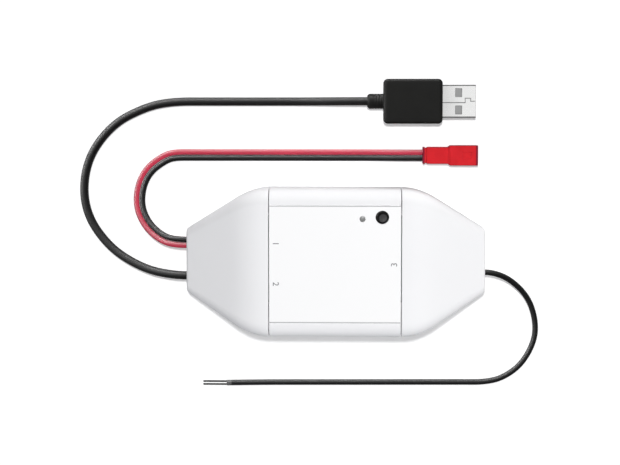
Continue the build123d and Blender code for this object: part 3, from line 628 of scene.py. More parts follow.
FINISHES = (
    Finish("housing_white", (0.822, 0.822, 0.834), 0.5, grain_depth=0.0035, drift=0.006, gloss=0.16),
    Finish("label_film", (0.89, 0.89, 0.892), 0.45, 5000.0, 0.002, drift=0.004, gloss=0.25),
    Finish(
        "print_grey",
        (0.16, 0.16, 0.17),
        0.55,
        grain_depth=0.003,
        drift=0.08,
        drift_scale=900.0,
        packed=False,
    ),
    # Grey of the painted shade lines along the label film's long edges.
    Finish("edge_shade_grey", (0.42, 0.42, 0.43), 0.55, grain_depth=0.003, drift=0.03, packed=False),
    PlatedMetal("screw_steel", (0.62, 0.62, 0.6), 0.3, grain_depth=0.003, drift=0.06, drift_scale=300.0),
    SolderMask("board_green", (0.012, 0.09, 0.035), 0.3, grain_depth=0.004, drift=0.06, coat=0.4),
    PaintedLightCap("button_black", (0.003, 0.003, 0.003), 0.45, grain_depth=0.005, drift=0.12, gloss=0.12),
    Finish("plunger_black", (0.03, 0.03, 0.03), 0.42, drift=0.1),
    Finish("component_black", (0.03, 0.03, 0.032), 0.5, grain_scale=6000.0, grain_depth=0.006, drift=0.1),
    FrostedClear("light_clear", (0.93, 0.95, 0.94), 0.32, grain_depth=0.004, drift=0.01),
    PlatedMetal("shield_metal", (0.72, 0.71, 0.68), 0.26, grain_depth=0.003, drift=0.05, drift_scale=200.0),
    PlatedMetal("capacitor_can", (0.7, 0.71, 0.73), 0.3, grain_depth=0.002, drift=0.04, drift_scale=300.0),
    Finish("chip_ceramic", (0.3, 0.22, 0.14), 0.45, grain_depth=0.004, drift=0.15, drift_scale=500.0),
    Finish("header_white", (0.78, 0.76, 0.7), 0.45, grain_depth=0.003, drift=0.03),
    Finish("clamp_grey", (0.22, 0.22, 0.225), 0.5, grain_depth=0.006, drift=0.05),
    Sheath("cable_black", (0.0025, 0.0025, 0.0026), 0.5, grain_depth=0.002, drift=0.15, gloss=0.22),
    Sheath("lead_black", (0.003, 0.003, 0.0031), 0.48, grain_depth=0.002, drift=0.15, gloss=0.22),
    Sheath("lead_red", (0.5, 0.032, 0.066), 0.48, grain_depth=0.002, drift=0.08, gloss=0.36),
    CutSheath("signal_sheath", (0.003, 0.003, 0.0031), 0.5, grain_depth=0.002, drift=0.15, gloss=0.26),
    Sheath(
        "core_wire",
        (0.004, 0.004, 0.0041),
        0.6,
        grain_depth=0.001,
        drift=0.1,
        gloss=0.0,
        line_depth=0.001,
    ),
    WornPlastic(
        "usb_grip_black",
        (0.0085, 0.0085, 0.008),
        0.5,
        grain_scale=6500.0,
        grain_depth=0.009,
        drift=0.1,
        drift_scale=140.0,
        rubbed=(0.02, 0.02, 0.02),
        gloss=0.08,
    ),
    # The plug's shell, with painted shade in its bends and on its sides.
    BentSheet("usb_shell_metal", (0.91, 0.91, 0.905), 0.27, grain_depth=0.0015, drift=0.03, gloss=0.05),
    Finish("usb_tongue_plastic", (0.29, 0.29, 0.29), 0.45, grain_depth=0.003, drift=0.04),
    PlatedMetal("contact_gold", (0.83, 0.6, 0.26), 0.24, grain_depth=0.002, drift=0.05, drift_scale=400.0),
    # The connector, with painted shade on its leaning faces, its mouth and its rear lip.
    PaintedShadePlastic(
        "connector_red",
        (0.6, 0.021, 0.028),
        0.4,
        gloss=0.06,
        grain_depth=0.003,
        drift=0.08,
        drift_scale=260.0,
        rubbed=(0.72, 0.09, 0.1),
        wear=0.35,
        inner_glow=0.08,
    ),
    PlatedMetal("copper_tip", (0.8, 0.42, 0.25), 0.35, drift=0.1, drift_scale=900.0, packed=False),
)


def corner_arcs(points: Sequence, radii: Sequence[float], steps: int) -> np.ndarray:
    """An open outline whose inner corners are rounded.

    Each arc touches both runs of its corner. Its middle lies on the corner's bisector, at the
    radius over the sine of the half angle, and its points turn evenly between the touch points.

    Args:
        points: the outline's corners in a plane.
        radii: one radius for each inner corner, zero for a sharp one.
        steps: how many spans each arc has.

    Returns:
        The rounded outline's points.
    """
    corners = np.asarray(points, float)
    made = [corners[:1]]
    share = np.linspace(0, 1, steps + 1)[:, None]
    for before, corner, after, radius in zip(corners, corners[1:], corners[2:], radii):
        if radius == 0:
            made.append(corner[None])
            continue
        back = (before - corner) / np.linalg.norm(before - corner)
        ahead = (after - corner) / np.linalg.norm(after - corner)
        half = math.acos(float(np.clip(back @ ahead, -1, 1))) / 2
        reach = radius / math.tan(half)
        bisector = (back + ahead) / np.linalg.norm(back + ahead)
        middle = corner + bisector * radius / math.sin(half)
        first = corner + back * reach - middle
        last = corner + ahead * reach - middle
        turn = math.pi - 2 * half
        arc = np.sin((1 - share) * turn) * first + np.sin(share * turn) * last
        made.append(middle + arc / math.sin(turn))
    made.append(corners[-1:])
    return np.concatenate(made)


def rounded_rings(
    half_widths: np.ndarray, half_heights: np.ndarray, corners: np.ndarray, arc_steps: int, side_steps: int
) -> np.ndarray:
    """Rounded rectangles, one for each given size, all with the same number of points.

    A point of a corner is the corner's centre plus the radius times (cos, sin) of its angle, and
    a point of a side lies evenly between the ends of two corners.

    Args:
        half_widths: half of each rectangle's width.
        half_heights: half of each rectangle's height.
        corners: each rectangle's corner radius.
        arc_steps: spans in a corner.
        side_steps: spans in a side.

    Returns:
        An array of rings, points and two coordinates.
    """
    sizes = (half_widths, half_heights, corners)
    width, height, radius = (np.asarray(size, float)[:, None] for size in sizes)
    arcs = []
    for quarter, (side, top) in enumerate(((1, 1), (-1, 1), (-1, -1), (1, -1))):
        angle = np.linspace(0, math.pi / 2, arc_steps + 1)[None] + quarter * math.pi / 2
        across = side * (width - radius) + radius * np.cos(angle)
        up = top * (height - radius) + radius * np.sin(angle)
        arcs.append(np.stack([across, up], axis=-1))
    share = np.linspace(0, 1, side_steps + 1)[None, 1:-1, None]
    blocks = []
    for arc, following in zip(arcs, arcs[1:] + arcs[:1]):
        blocks += [arc, arc[:, -1:] * (1 - share) + following[:, :1] * share]
    return np.concatenate(blocks, axis=1)


def tube_faces(rings: int, count: int) -> list:
    """Quads between closed rings of points, and one flat face at each end.

    Args:
        rings: how many rings follow one another.
        count: points in each ring.

    Returns:
        The faces as lists of point numbers.
    """
    ring, spot = np.meshgrid(np.arange(rings - 1), np.arange(count), indexing="ij")
    beside = (spot + 1) % count
    quads = np.stack(
        [ring * count + spot, ring * count + beside, (ring + 1) * count + beside, (ring + 1) * count + spot],
        axis=-1,
    )
    ends = [list(range(count)), list(range((rings - 1) * count, rings * count))]
    return quads.reshape(-1, 4).tolist() + ends


def lathe_rings(outline: np.ndarray, centre: Sequence[float], count: int) -> np.ndarray:
    """Rings of an outline turned about a vertical axis.

    A point is the axis plus the outline's radius times (cos, sin) of the turn, at the outline's height.

    Args:
        outline: radius and height of each ring.
        centre: the axis's place across the part.
        count: points in a ring.

    Returns:
        An array of rings, points and three coordinates.
    """
    turn = np.linspace(0, 2 * math.pi, count, endpoint=False)[None]
    radius, height = outline[:, :1], outline[:, 1:]
    across = centre[0] + radius * np.cos(turn)
    up = centre[1] + radius * np.sin(turn)
    return np.stack([across, up, np.broadcast_to(height, across.shape)], axis=-1)


class Workshop:
    """Makes pieces out of meshes, dresses them and hangs them on the frame's bodies."""

    def __init__(self) -> None:
        """Builds the finishes."""
        effects = Effects()
        self.materials = {finish.slot: finish.build(effects) for finish in FINISHES}
        self.packed = {finish.slot for finish in FINISHES if finish.packed}
        self.pieces = {finish.slot: [] for finish in FINISHES}

    def box(self, node: str) -> tuple[np.ndarray, np.ndarray]:
        """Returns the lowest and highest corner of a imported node, in millimetres."""
        low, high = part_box(node)
        return np.array(low) / MM, np.array(high) / MM

    def piece(self, name: str, data: bpy.types.ID) -> bpy.types.Object:
        """Makes an object of the data and links it to the scene.

        Args:
            name: the object's name.
            data: its mesh or curve.

        Returns:
            The object.
        """
        made = bpy.data.objects.new(name, data)
        bpy.context.scene.collection.objects.link(made)
        return made

    def shell(
        self, name: str, points: np.ndarray, faces: list, limit: float = SMOOTH_LIMIT
    ) -> bpy.types.Object:
        """Makes a closed mesh piece.

        Args:
            name: the piece's name.
            points: its points in millimetres.
            faces: its faces as lists of point numbers.
            limit: the angle in degrees past which an edge stays sharp.

        Returns:
            The piece, with its place in its mesh.
        """
        mesh = bpy.data.meshes.new(name)
        mesh.from_pydata(points.reshape(-1, 3).tolist(), [], faces)
        self.clean(mesh)
        mesh.shade_smooth()
        mesh.set_sharp_from_angle(angle=math.radians(limit))
        mesh.transform(Matrix.Scale(MM, 4))
        return self.piece(name, mesh)

    def clean(self, mesh: bpy.types.Mesh) -> None:
        """Merges points that coincide and turns all faces outwards.

        Args:
            mesh: the mesh, in millimetres.
        """
        work = bmesh.new()
        work.from_mesh(mesh)
        bmesh.ops.remove_doubles(work, verts=work.verts, dist=WELD)
        bmesh.ops.recalc_face_normals(work, faces=work.faces)
        work.to_mesh(mesh)
        work.free()

    def settle(self, piece: bpy.types.Object) -> bpy.types.Object:
        """Turns a piece in millimetres, with its modifiers, into a plain mesh piece in metres.

        Args:
            piece: the piece, which is removed.

        Returns:
            The plain piece, at the origin and under the same name.
        """
        graph = bpy.context.evaluated_depsgraph_get()
        mesh = bpy.data.meshes.new_from_object(piece.evaluated_get(graph), depsgraph=graph)
        mesh.transform(Matrix.Scale(MM, 4) @ piece.matrix_world)
        name = piece.name
        bpy.data.objects.remove(piece)
        mesh.name = name
        return self.piece(name, mesh)

    def rolled(
        self,
        node: str,
        name: str,
        roll: float,
        steps: int = 2,
        chosen: Optional[Callable[[np.ndarray], np.ndarray]] = None,
    ) -> bpy.types.Object:
        """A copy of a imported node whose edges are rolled, as a mould or a press leaves them.

        The copy's loose triangles are merged, flat areas become single faces, and each edge
        sharper than the limit for rolled edges is bevelled, or only those whose middle the choice accepts.

        Args:
            node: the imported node.
            name: the new piece's name.
            roll: the width of the rolled edge.
            steps: spans across it.
            chosen: takes the edges' middles and says which of them are rolled.

        Returns:
            The new piece.
        """
        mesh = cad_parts[node].data.copy()
        mesh.transform(Matrix.Scale(1 / MM, 4))
        work = bmesh.new()
        work.from_mesh(mesh)
        bmesh.ops.remove_doubles(work, verts=work.verts, dist=10 * WELD)
        flat = math.radians(FLAT_LIMIT)
        bmesh.ops.dissolve_limit(work, angle_limit=flat, verts=work.verts, edges=work.edges)
        bmesh.ops.recalc_face_normals(work, faces=work.faces)
        limit = math.radians(ROLLED_LIMIT)
        sharp = np.array([edge.calc_face_angle(0.0) > limit for edge in work.edges])
        if chosen is not None:
            middles = np.array([(edge.verts[0].co + edge.verts[1].co) / 2 for edge in work.edges])
            sharp &= chosen(middles)
        work.to_mesh(mesh)
        work.free()
        weights = mesh.attributes.new("bevel_weight_edge", "FLOAT", "EDGE")
        weights.data.foreach_set("value", sharp.astype(np.float32))
        mesh.shade_smooth()
        mesh.set_sharp_from_angle(angle=limit)
        made = self.piece(name, mesh)
        bevel = made.modifiers.new("rolled_edges", "BEVEL")
        bevel.width = roll
        bevel.segments = steps
        bevel.limit_method = "WEIGHT"
        bevel.use_clamp_overlap = False
        bevel.miter_outer = "MITER_ARC"
        bevel.harden_normals = False
        even = made.modifiers.new("even_normals", "WEIGHTED_NORMAL")
        even.keep_sharp = True
        return self.settle(made)

    def finish(
        self, piece: bpy.types.Object, slot: str, body: Body = Body.HOUSING, replaced: Sequence[str] = ()
    ) -> bpy.types.Object:
        """Dresses a piece and ties it to its body.

        Args:
            piece: the new piece.
            slot: the material slot that it takes its finish from.
            body: the body that it moves with.
            replaced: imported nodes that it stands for.

        Returns:
            The same piece.
        """
        piece.data.materials.clear()
        piece.data.materials.append(self.materials[slot])
        self.pieces[slot].append(piece)
        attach(piece, body.value)
        if replaced:
            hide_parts(*replaced)
        log.info("%s rides on %s", piece.name, body.value)
        return piece


@dataclass(frozen=True)
class Softbox:
    """A square or long lamp: its tilts from overhead, its distance, its size and the level it gives."""

    name: str
    tilt_x: float
    tilt_y: float
    distance: float
    size: tuple[float, float]
    level: float
    color: tuple[float, float, float] = (1.0, 1.0, 1.0)
    lights_floor: bool = True
    gloss_only: bool = False
    under_floor: bool = False

    def place(self) -> Vector:
        """Finds where the lamp's middle stands, in millimetres.

        Returns:
            The place, whose sideways parts are the sines of the two tilts.
        """
        across = math.sin(math.radians(self.tilt_x))
        up_the_picture = math.sin(math.radians(self.tilt_y))
        height = math.sqrt(max(0.0, 1 - across**2 - up_the_picture**2))
        return Vector((across, up_the_picture, -height if self.under_floor else height)) * self.distance

    def power(self) -> float:
        """Works out the power that lights a white card facing the lamp to the level, or glows at it.

        Returns:
            The power in watts.
        """
        if self.gloss_only:
            return self.level * math.pi * self.size[0] * self.size[1] * MM * MM
        return self.level * (math.pi * self.distance * MM) ** 2


@dataclass
class Studio:
    """The white floor, the soft lamps and the camera at the photograph's angle."""

    camera_place: tuple[float, float, float] = (9.0, 58.2, 620.0)
    camera_turn_degrees: tuple[float, float, float] = (-4.509, 1.723, 0.0)
    lens: float = 97.41
    floor_half: float = 2500.0
    floor_tone: float = 0.93
    floor_drop: float = 0.03
    floor_glow: float = 0.34
    sky_tone: float = 0.09
    sky_color: tuple[float, float, float, float] = (0.9, 0.92, 1.0, 1.0)
    sky_side: tuple[float, float, float] = (-0.6, 0.72, 0.55)
    sky_reach: tuple[float, float] = (-0.1, 0.5)
    sky_dim: float = 0.015
    satin_slots: tuple[str, ...] = (
        "cable_black",
        "lead_black",
        "lead_red",
        "signal_sheath",
        "button_black",
        "usb_grip_black",
    )
    lamps: tuple[Softbox, ...] = (
        Softbox("top_softbox", 0.0, 11.5, 1000.0, (65.0, 65.0), 0.655),
        Softbox(
            "right_softbox", 45.0, 4.0, 1000.0, (500.0, 500.0), 0.395, (1.0, 0.995, 0.98), lights_floor=False
        ),
        Softbox(
            "edge_softbox", 0.0, 80.0, 1000.0, (700.0, 300.0), 0.56, lights_floor=False, under_floor=True
        ),
        Softbox(
            "front_softbox", 0.0, -65.0, 1000.0, (700.0, 300.0), 0.22, (0.94, 0.96, 1.0), lights_floor=False
        ),
        Softbox(
            "under_softbox", 0.0, 0.0, 1000.0, (700.0, 700.0), 0.14, lights_floor=False, under_floor=True
        ),
        Softbox("low_gloss", -38.0, 48.0, 1100.0, (2600.0, 900.0), 12.5, gloss_only=True),
        Softbox("high_gloss", -30.0, 38.0, 1100.0, (2400.0, 900.0), 4.0, gloss_only=True),
    )

    def build(self, shop: Workshop) -> None:
        """Builds the whole studio.

        Args:
            shop: the workshop, for the satin pieces that it has made.
        """
        self.camera()
        floor = self.floor()
        satin = [piece for slot in self.satin_slots for piece in shop.pieces[slot]]
        for lamp in self.lamps:
            self.light(lamp, floor, satin)
        self.sky()

    def camera(self) -> None:
        """Makes the camera."""
        lens = bpy.data.cameras.new("camera")
        lens.lens = self.lens
        made = bpy.data.objects.new("camera", lens)
        made.location = Vector(self.camera_place) * MM
        made.rotation_euler = [math.radians(turn) for turn in self.camera_turn_degrees]
        bpy.context.scene.collection.objects.link(made)
        bpy.context.scene.camera = made
        bpy.context.scene.view_settings.view_transform = "Standard"

    def light(self, lamp: Softbox, floor: bpy.types.Object, satin: Sequence[bpy.types.Object]) -> None:
        """Makes one soft lamp that faces the part.

        Args:
            lamp: the lamp's plan.
            floor: the floor, which some lamps are flagged off.
            satin: the pieces that the gloss lamps shine on.
        """
        data = bpy.data.lights.new(lamp.name, "AREA")
        data.shape = "RECTANGLE"
        data.size, data.size_y = lamp.size[0] * MM, lamp.size[1] * MM
        data.energy = lamp.power()
        data.color = lamp.color
        data.use_shadow = not lamp.gloss_only
        data.cycles.use_multiple_importance_sampling = not lamp.gloss_only
        made = bpy.data.objects.new(lamp.name, data)
        made.location = lamp.place() * MM
        made.rotation_euler = (-lamp.place()).to_track_quat("-Z", "Y").to_euler()
        made.visible_diffuse = not lamp.gloss_only
        made.visible_glossy = lamp.gloss_only
        bpy.context.scene.collection.objects.link(made)
        if lamp.gloss_only:
            made.light_linking.receiver_collection = bpy.data.collections.new(f"{lamp.name}_shines_on")
            for piece in satin:
                made.light_linking.receiver_collection.objects.link(piece)
        elif not lamp.lights_floor:
            flagged = bpy.data.collections.new(f"{lamp.name}_flagged_off")
            flagged.objects.link(floor)
            made.light_linking.receiver_collection = flagged
            if lamp.under_floor:
                made.light_linking.blocker_collection = flagged
            flagged.collection_objects[0].light_linking.link_state = "EXCLUDE"

    def floor(self) -> bpy.types.Object:
        """Makes a white floor that keeps shadows, looks plain white elsewhere and is clear from below.

        Its glow makes up for what the top lamp loses at the distance r from the spot below it,
        at the height h: the level times one minus the square of h*h / (r*r + h*h).

        Returns:
            The floor.
        """
        half = self.floor_half * MM
        mesh = bpy.data.meshes.new("floor")
        level = -self.floor_drop * MM
        corners = [(-half, -half, level), (half, -half, level), (half, half, level), (-half, half, level)]
        mesh.from_pydata(corners, [], [(0, 1, 2, 3)])
        made = bpy.data.objects.new("floor", mesh)
        bpy.context.scene.collection.objects.link(made)
        material = bpy.data.materials.new("studio_floor")
        material.use_nodes = True
        material.node_tree.nodes.clear()
        graph = Graph(material.node_tree)
        tone = (self.floor_tone, self.floor_tone, self.floor_tone, 1.0)
        diffuse = graph.node("ShaderNodeBsdfDiffuse", {"Color": tone}).outputs[0]
        top = self.lamps[0]
        below, height = (top.place().x * MM, top.place().y * MM, level), top.place().z * MM
        reach = graph.distance(graph.place(), below)
        square = graph.math("ADD", graph.math("MULTIPLY", reach, reach), height * height)
        share = graph.math("DIVIDE", height * height, square)
        lost = graph.math("SUBTRACT", 1.0, graph.math("MULTIPLY", share, share))
        made_up = graph.math("MULTIPLY", lost, top.level * self.floor_tone)
        seen = graph.node("ShaderNodeLightPath").outputs["Is Camera Ray"]
        strength = graph.math("MULTIPLY", seen, graph.math("ADD", made_up, self.floor_glow))
        glow = graph.node("ShaderNodeEmission", {"Strength": strength})
        both = graph.node("ShaderNodeAddShader", {0: diffuse, 1: glow.outputs[0]}).outputs[0]
        clear = graph.node("ShaderNodeBsdfTransparent").outputs[0]
        behind = graph.node("ShaderNodeNewGeometry").outputs["Backfacing"]
        surface = graph.node("ShaderNodeMixShader", {0: behind, 1: both, 2: clear}).outputs[0]
        graph.node("ShaderNodeOutputMaterial", {"Surface": surface})
        mesh.materials.append(material)
        return made

    def sky(self) -> None:
        """Makes a dim even sky that looks white, and in gloss is white above and up the picture only.

        The gloss's share is a smooth step of the direction's part along the bright side.
        """
        world = bpy.data.worlds.new("studio_sky")
        world.use_nodes = True
        world.node_tree.nodes.clear()
        graph = Graph(world.node_tree)
        direction = graph.node("ShaderNodeTexCoord").outputs["Generated"]
        part = graph.node("ShaderNodeVectorMath", {0: direction, 1: self.sky_side}, operation="DOT_PRODUCT")
        inputs = {
            "Value": part.outputs["Value"],
            "From Min": self.sky_reach[0],
            "From Max": self.sky_reach[1],
            "To Min": self.sky_dim,
            "To Max": 1.0,
        }
        graded = graph.node("ShaderNodeMapRange", inputs, interpolation_type="SMOOTHSTEP").outputs["Result"]
        path = graph.node("ShaderNodeLightPath").outputs
        plain = graph.math("MAXIMUM", path["Is Camera Ray"], path["Is Transmission Ray"])
        shining = graph.math("MULTIPLY", path["Is Glossy Ray"], graded)
        white = graph.math("MAXIMUM", plain, shining)
        unlit = graph.math("SUBTRACT", 1.0, graph.math("MAXIMUM", plain, path["Is Glossy Ray"]))
        strength = graph.math("ADD", white, graph.math("MULTIPLY", unlit, self.sky_tone))
        color = graph.mix(unlit, (1.0, 1.0, 1.0, 1.0), self.sky_color)
        light = graph.node("ShaderNodeBackground", {"Color": color, "Strength": strength}).outputs[0]
        graph.node("ShaderNodeOutputWorld", {"Surface": light})
        bpy.context.scene.world = world


@dataclass
class Cord:
    """A free cable on its route, as a smooth spline of the real length."""

    name: str
    node: str
    slot: str
    diameter: float
    length: float
    route: tuple
    far_end: FarEnd
    flex: Flex

    def build(self, shop: Workshop) -> bpy.types.Object:
        """Makes the cord as a curve with a round section.

        Args:
            shop: the workshop.

        Returns:
            The cord.
        """
        curve = bpy.data.curves.new(self.name, "CURVE")
        curve.dimensions = "3D"
        curve.bevel_depth = self.diameter * MM / 2
        curve.bevel_resolution = 7
        curve.resolution_u = 16
        curve.use_fill_caps = True
        spline = curve.splines.new("NURBS")
        spline.points.add(len(self.route) - 1)
        points = np.c_[np.array(self.route, float) * MM, np.ones(len(self.route))]
        spline.points.foreach_set("co", points.ravel())
        spline.order_u = 3
        spline.use_endpoint_u = True
        return shop.finish(shop.piece(self.name, curve), self.slot, replaced=[self.node])

    def declare(self, cord: bpy.types.Object, pieces: Sequence[bpy.types.Object]) -> None:
        """Takes the cord and the pieces on it, and does nothing with them.

        Args:
            cord: the cord's piece; not used.
            pieces: the pieces that hang on it; not used.
        """


@dataclass
class PowerLead:
    """The power cable with its moulded plug."""

    cord: Cord = field(
        default_factory=lambda: Cord(
            "power_cable_sheath",
            "power_cable",
            "cable_black",
            3.1,
            178.8,
            (
                (-54.25, -6.0, 8.0),
                (-59.5, -6.0, 8.0),
                (-71.2, -3.8, 5.4),
                (-84.5, 4.0, 2.6),
                (-93.7, 18.0, 1.6),
                (-92.8, 35.5, 1.6),
                (-83.0, 49.2, 1.6),
                (-70.0, 55.8, 1.6),
                (-60.0, 57.7, 1.6),
                (-47.6, 57.7, 1.6),
                (-26.3, 57.7, 1.6),
                (-12.0, 57.7, 1.6),
                (2.0, 57.8, 4.3),
                (11.4, 57.8, 4.3),
            ),
            FarEnd.PLUG,
            Flex.MEDIUM,
        )
    )
    neck_length: float = 5.9
    neck_radius: float = 2.75
    neck_chamfer: float = 0.7
    neck_fillet: float = 0.4
    groove_depth: float = 0.12
    plan_corner: float = 1.6
    edge_rounding: float = 0.9
    mouth_gap: float = 0.02
    mouth_rounding: float = 0.15
    mouth_corner: float = 0.62
    seat_depth: float = 6.0
    sheet_roll: float = 0.09
    ribs: int = 3
    rib_sharpness: int = 8
    rib_rings: int = 49
    neck_steps: int = 8
    arc_steps: int = 12
    mouth_steps: int = 4
    corner_steps: int = 10
    side_steps: int = 12
    smooth_limit: float = 45.0

    def build(self, shop: Workshop) -> None:
        """Makes the cable, the grip and the metal shell.

        Args:
            shop: the workshop.
        """
        cable = self.cord.build(shop)
        grip = self.grip(shop)
        shell = shop.rolled("usb_shell", "usb_plug_shell", self.sheet_roll)
        shop.finish(shell, "usb_shell_metal", replaced=["usb_shell"])
        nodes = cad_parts
        self.cord.declare(cable, [grip, shell, nodes["usb_tongue"], nodes["usb_contacts"]])

    def grip(self, shop: Workshop) -> bpy.types.Object:
        """Makes the grip as rings along the plug.

        The rings are rounded rectangles. Near an end, at the depth d from it, the half width is
        less by the corner radius times one minus the cosine of the arc's angle there, and the half
        height is less by the edge rounding in the same way. The neck's rings are circles, and the
        last rings turn in at the mouth and line the shell's seat.

        Args:
            shop: the workshop.

        Returns:
            The grip.
        """
        low, high = shop.box("usb_grip")
        mouth_low, mouth_high = shop.box("usb_shell")
        middle_y, middle_z = (low[1] + high[1]) / 2, (low[2] + high[2]) / 2
        half_width, half_height = (high[1] - low[1]) / 2, (high[2] - low[2]) / 2
        start, front = low[0] + self.neck_length, high[0]

        neck = corner_arcs(
            [
                (low[0], self.neck_radius - self.neck_chamfer),
                (low[0] + self.neck_chamfer, self.neck_radius),
                (start, self.neck_radius),
                (start, self.neck_radius + 2 * self.neck_fillet),
            ],
            [self.neck_chamfer, self.neck_fillet],
            self.neck_steps,
        )
        rib_start, rib_end = low[0] + 3 * self.neck_chamfer, start - 2 * self.neck_fillet
        run = np.linspace(rib_start, rib_end, self.rib_rings)
        phase = (run - run[0]) / (run[-1] - run[0]) * self.ribs * math.pi
        waves = self.groove_depth * np.sin(phase) ** self.rib_sharpness
        ribs = np.c_[run, self.neck_radius - waves]
        split = int(np.searchsorted(neck[:, 0], run[0]))
        neck = np.concatenate([neck[:split], ribs, neck[neck[:, 0] > run[-1]]])

        angle = np.linspace(0, math.pi / 2, self.arc_steps + 1)
        inset = 1 - np.sin(angle)
        rear = np.c_[
            start + self.plan_corner * (1 - np.cos(angle)),
            half_width - self.plan_corner * inset,
            half_height - self.edge_rounding * inset,
            np.maximum(self.edge_rounding * (1 - inset), self.mouth_rounding) + self.mouth_rounding,
        ]
        ahead = rear[::-1].copy()
        ahead[:, 0] = front - (rear[::-1, 0] - start)
        mouth_width = (mouth_high[1] - mouth_low[1]) / 2 + self.mouth_gap
        mouth_height = (mouth_high[2] - mouth_low[2]) / 2 + self.mouth_gap
        turn = np.linspace(0, math.pi / 2, self.mouth_steps + 1)
        mouth = np.c_[
            front - self.mouth_rounding * (1 - np.cos(turn)),
            mouth_width + self.mouth_rounding * (1 - np.sin(turn)),
            mouth_height + self.mouth_rounding * (1 - np.sin(turn)),
            np.full(len(turn), self.mouth_corner),
        ]
        seat = np.array([[front - self.seat_depth, mouth_width, mouth_height, self.mouth_corner]])
        neck_rings = np.c_[neck[:, 0], neck[:, 1], neck[:, 1], neck[:, 1]]
        sizes = np.concatenate([neck_rings, rear, ahead, mouth, seat])
        rings = rounded_rings(*sizes.T[1:], self.corner_steps, self.side_steps)
        along = np.broadcast_to(sizes[:, :1], rings.shape[:2])
        points = np.stack([along, middle_y + rings[..., 0], middle_z + rings[..., 1]], axis=-1)
        made = shop.shell("usb_plug_grip", points, tube_faces(*points.shape[:2]), self.smooth_limit)
        return shop.finish(made, "usb_grip_black", replaced=["usb_grip"])


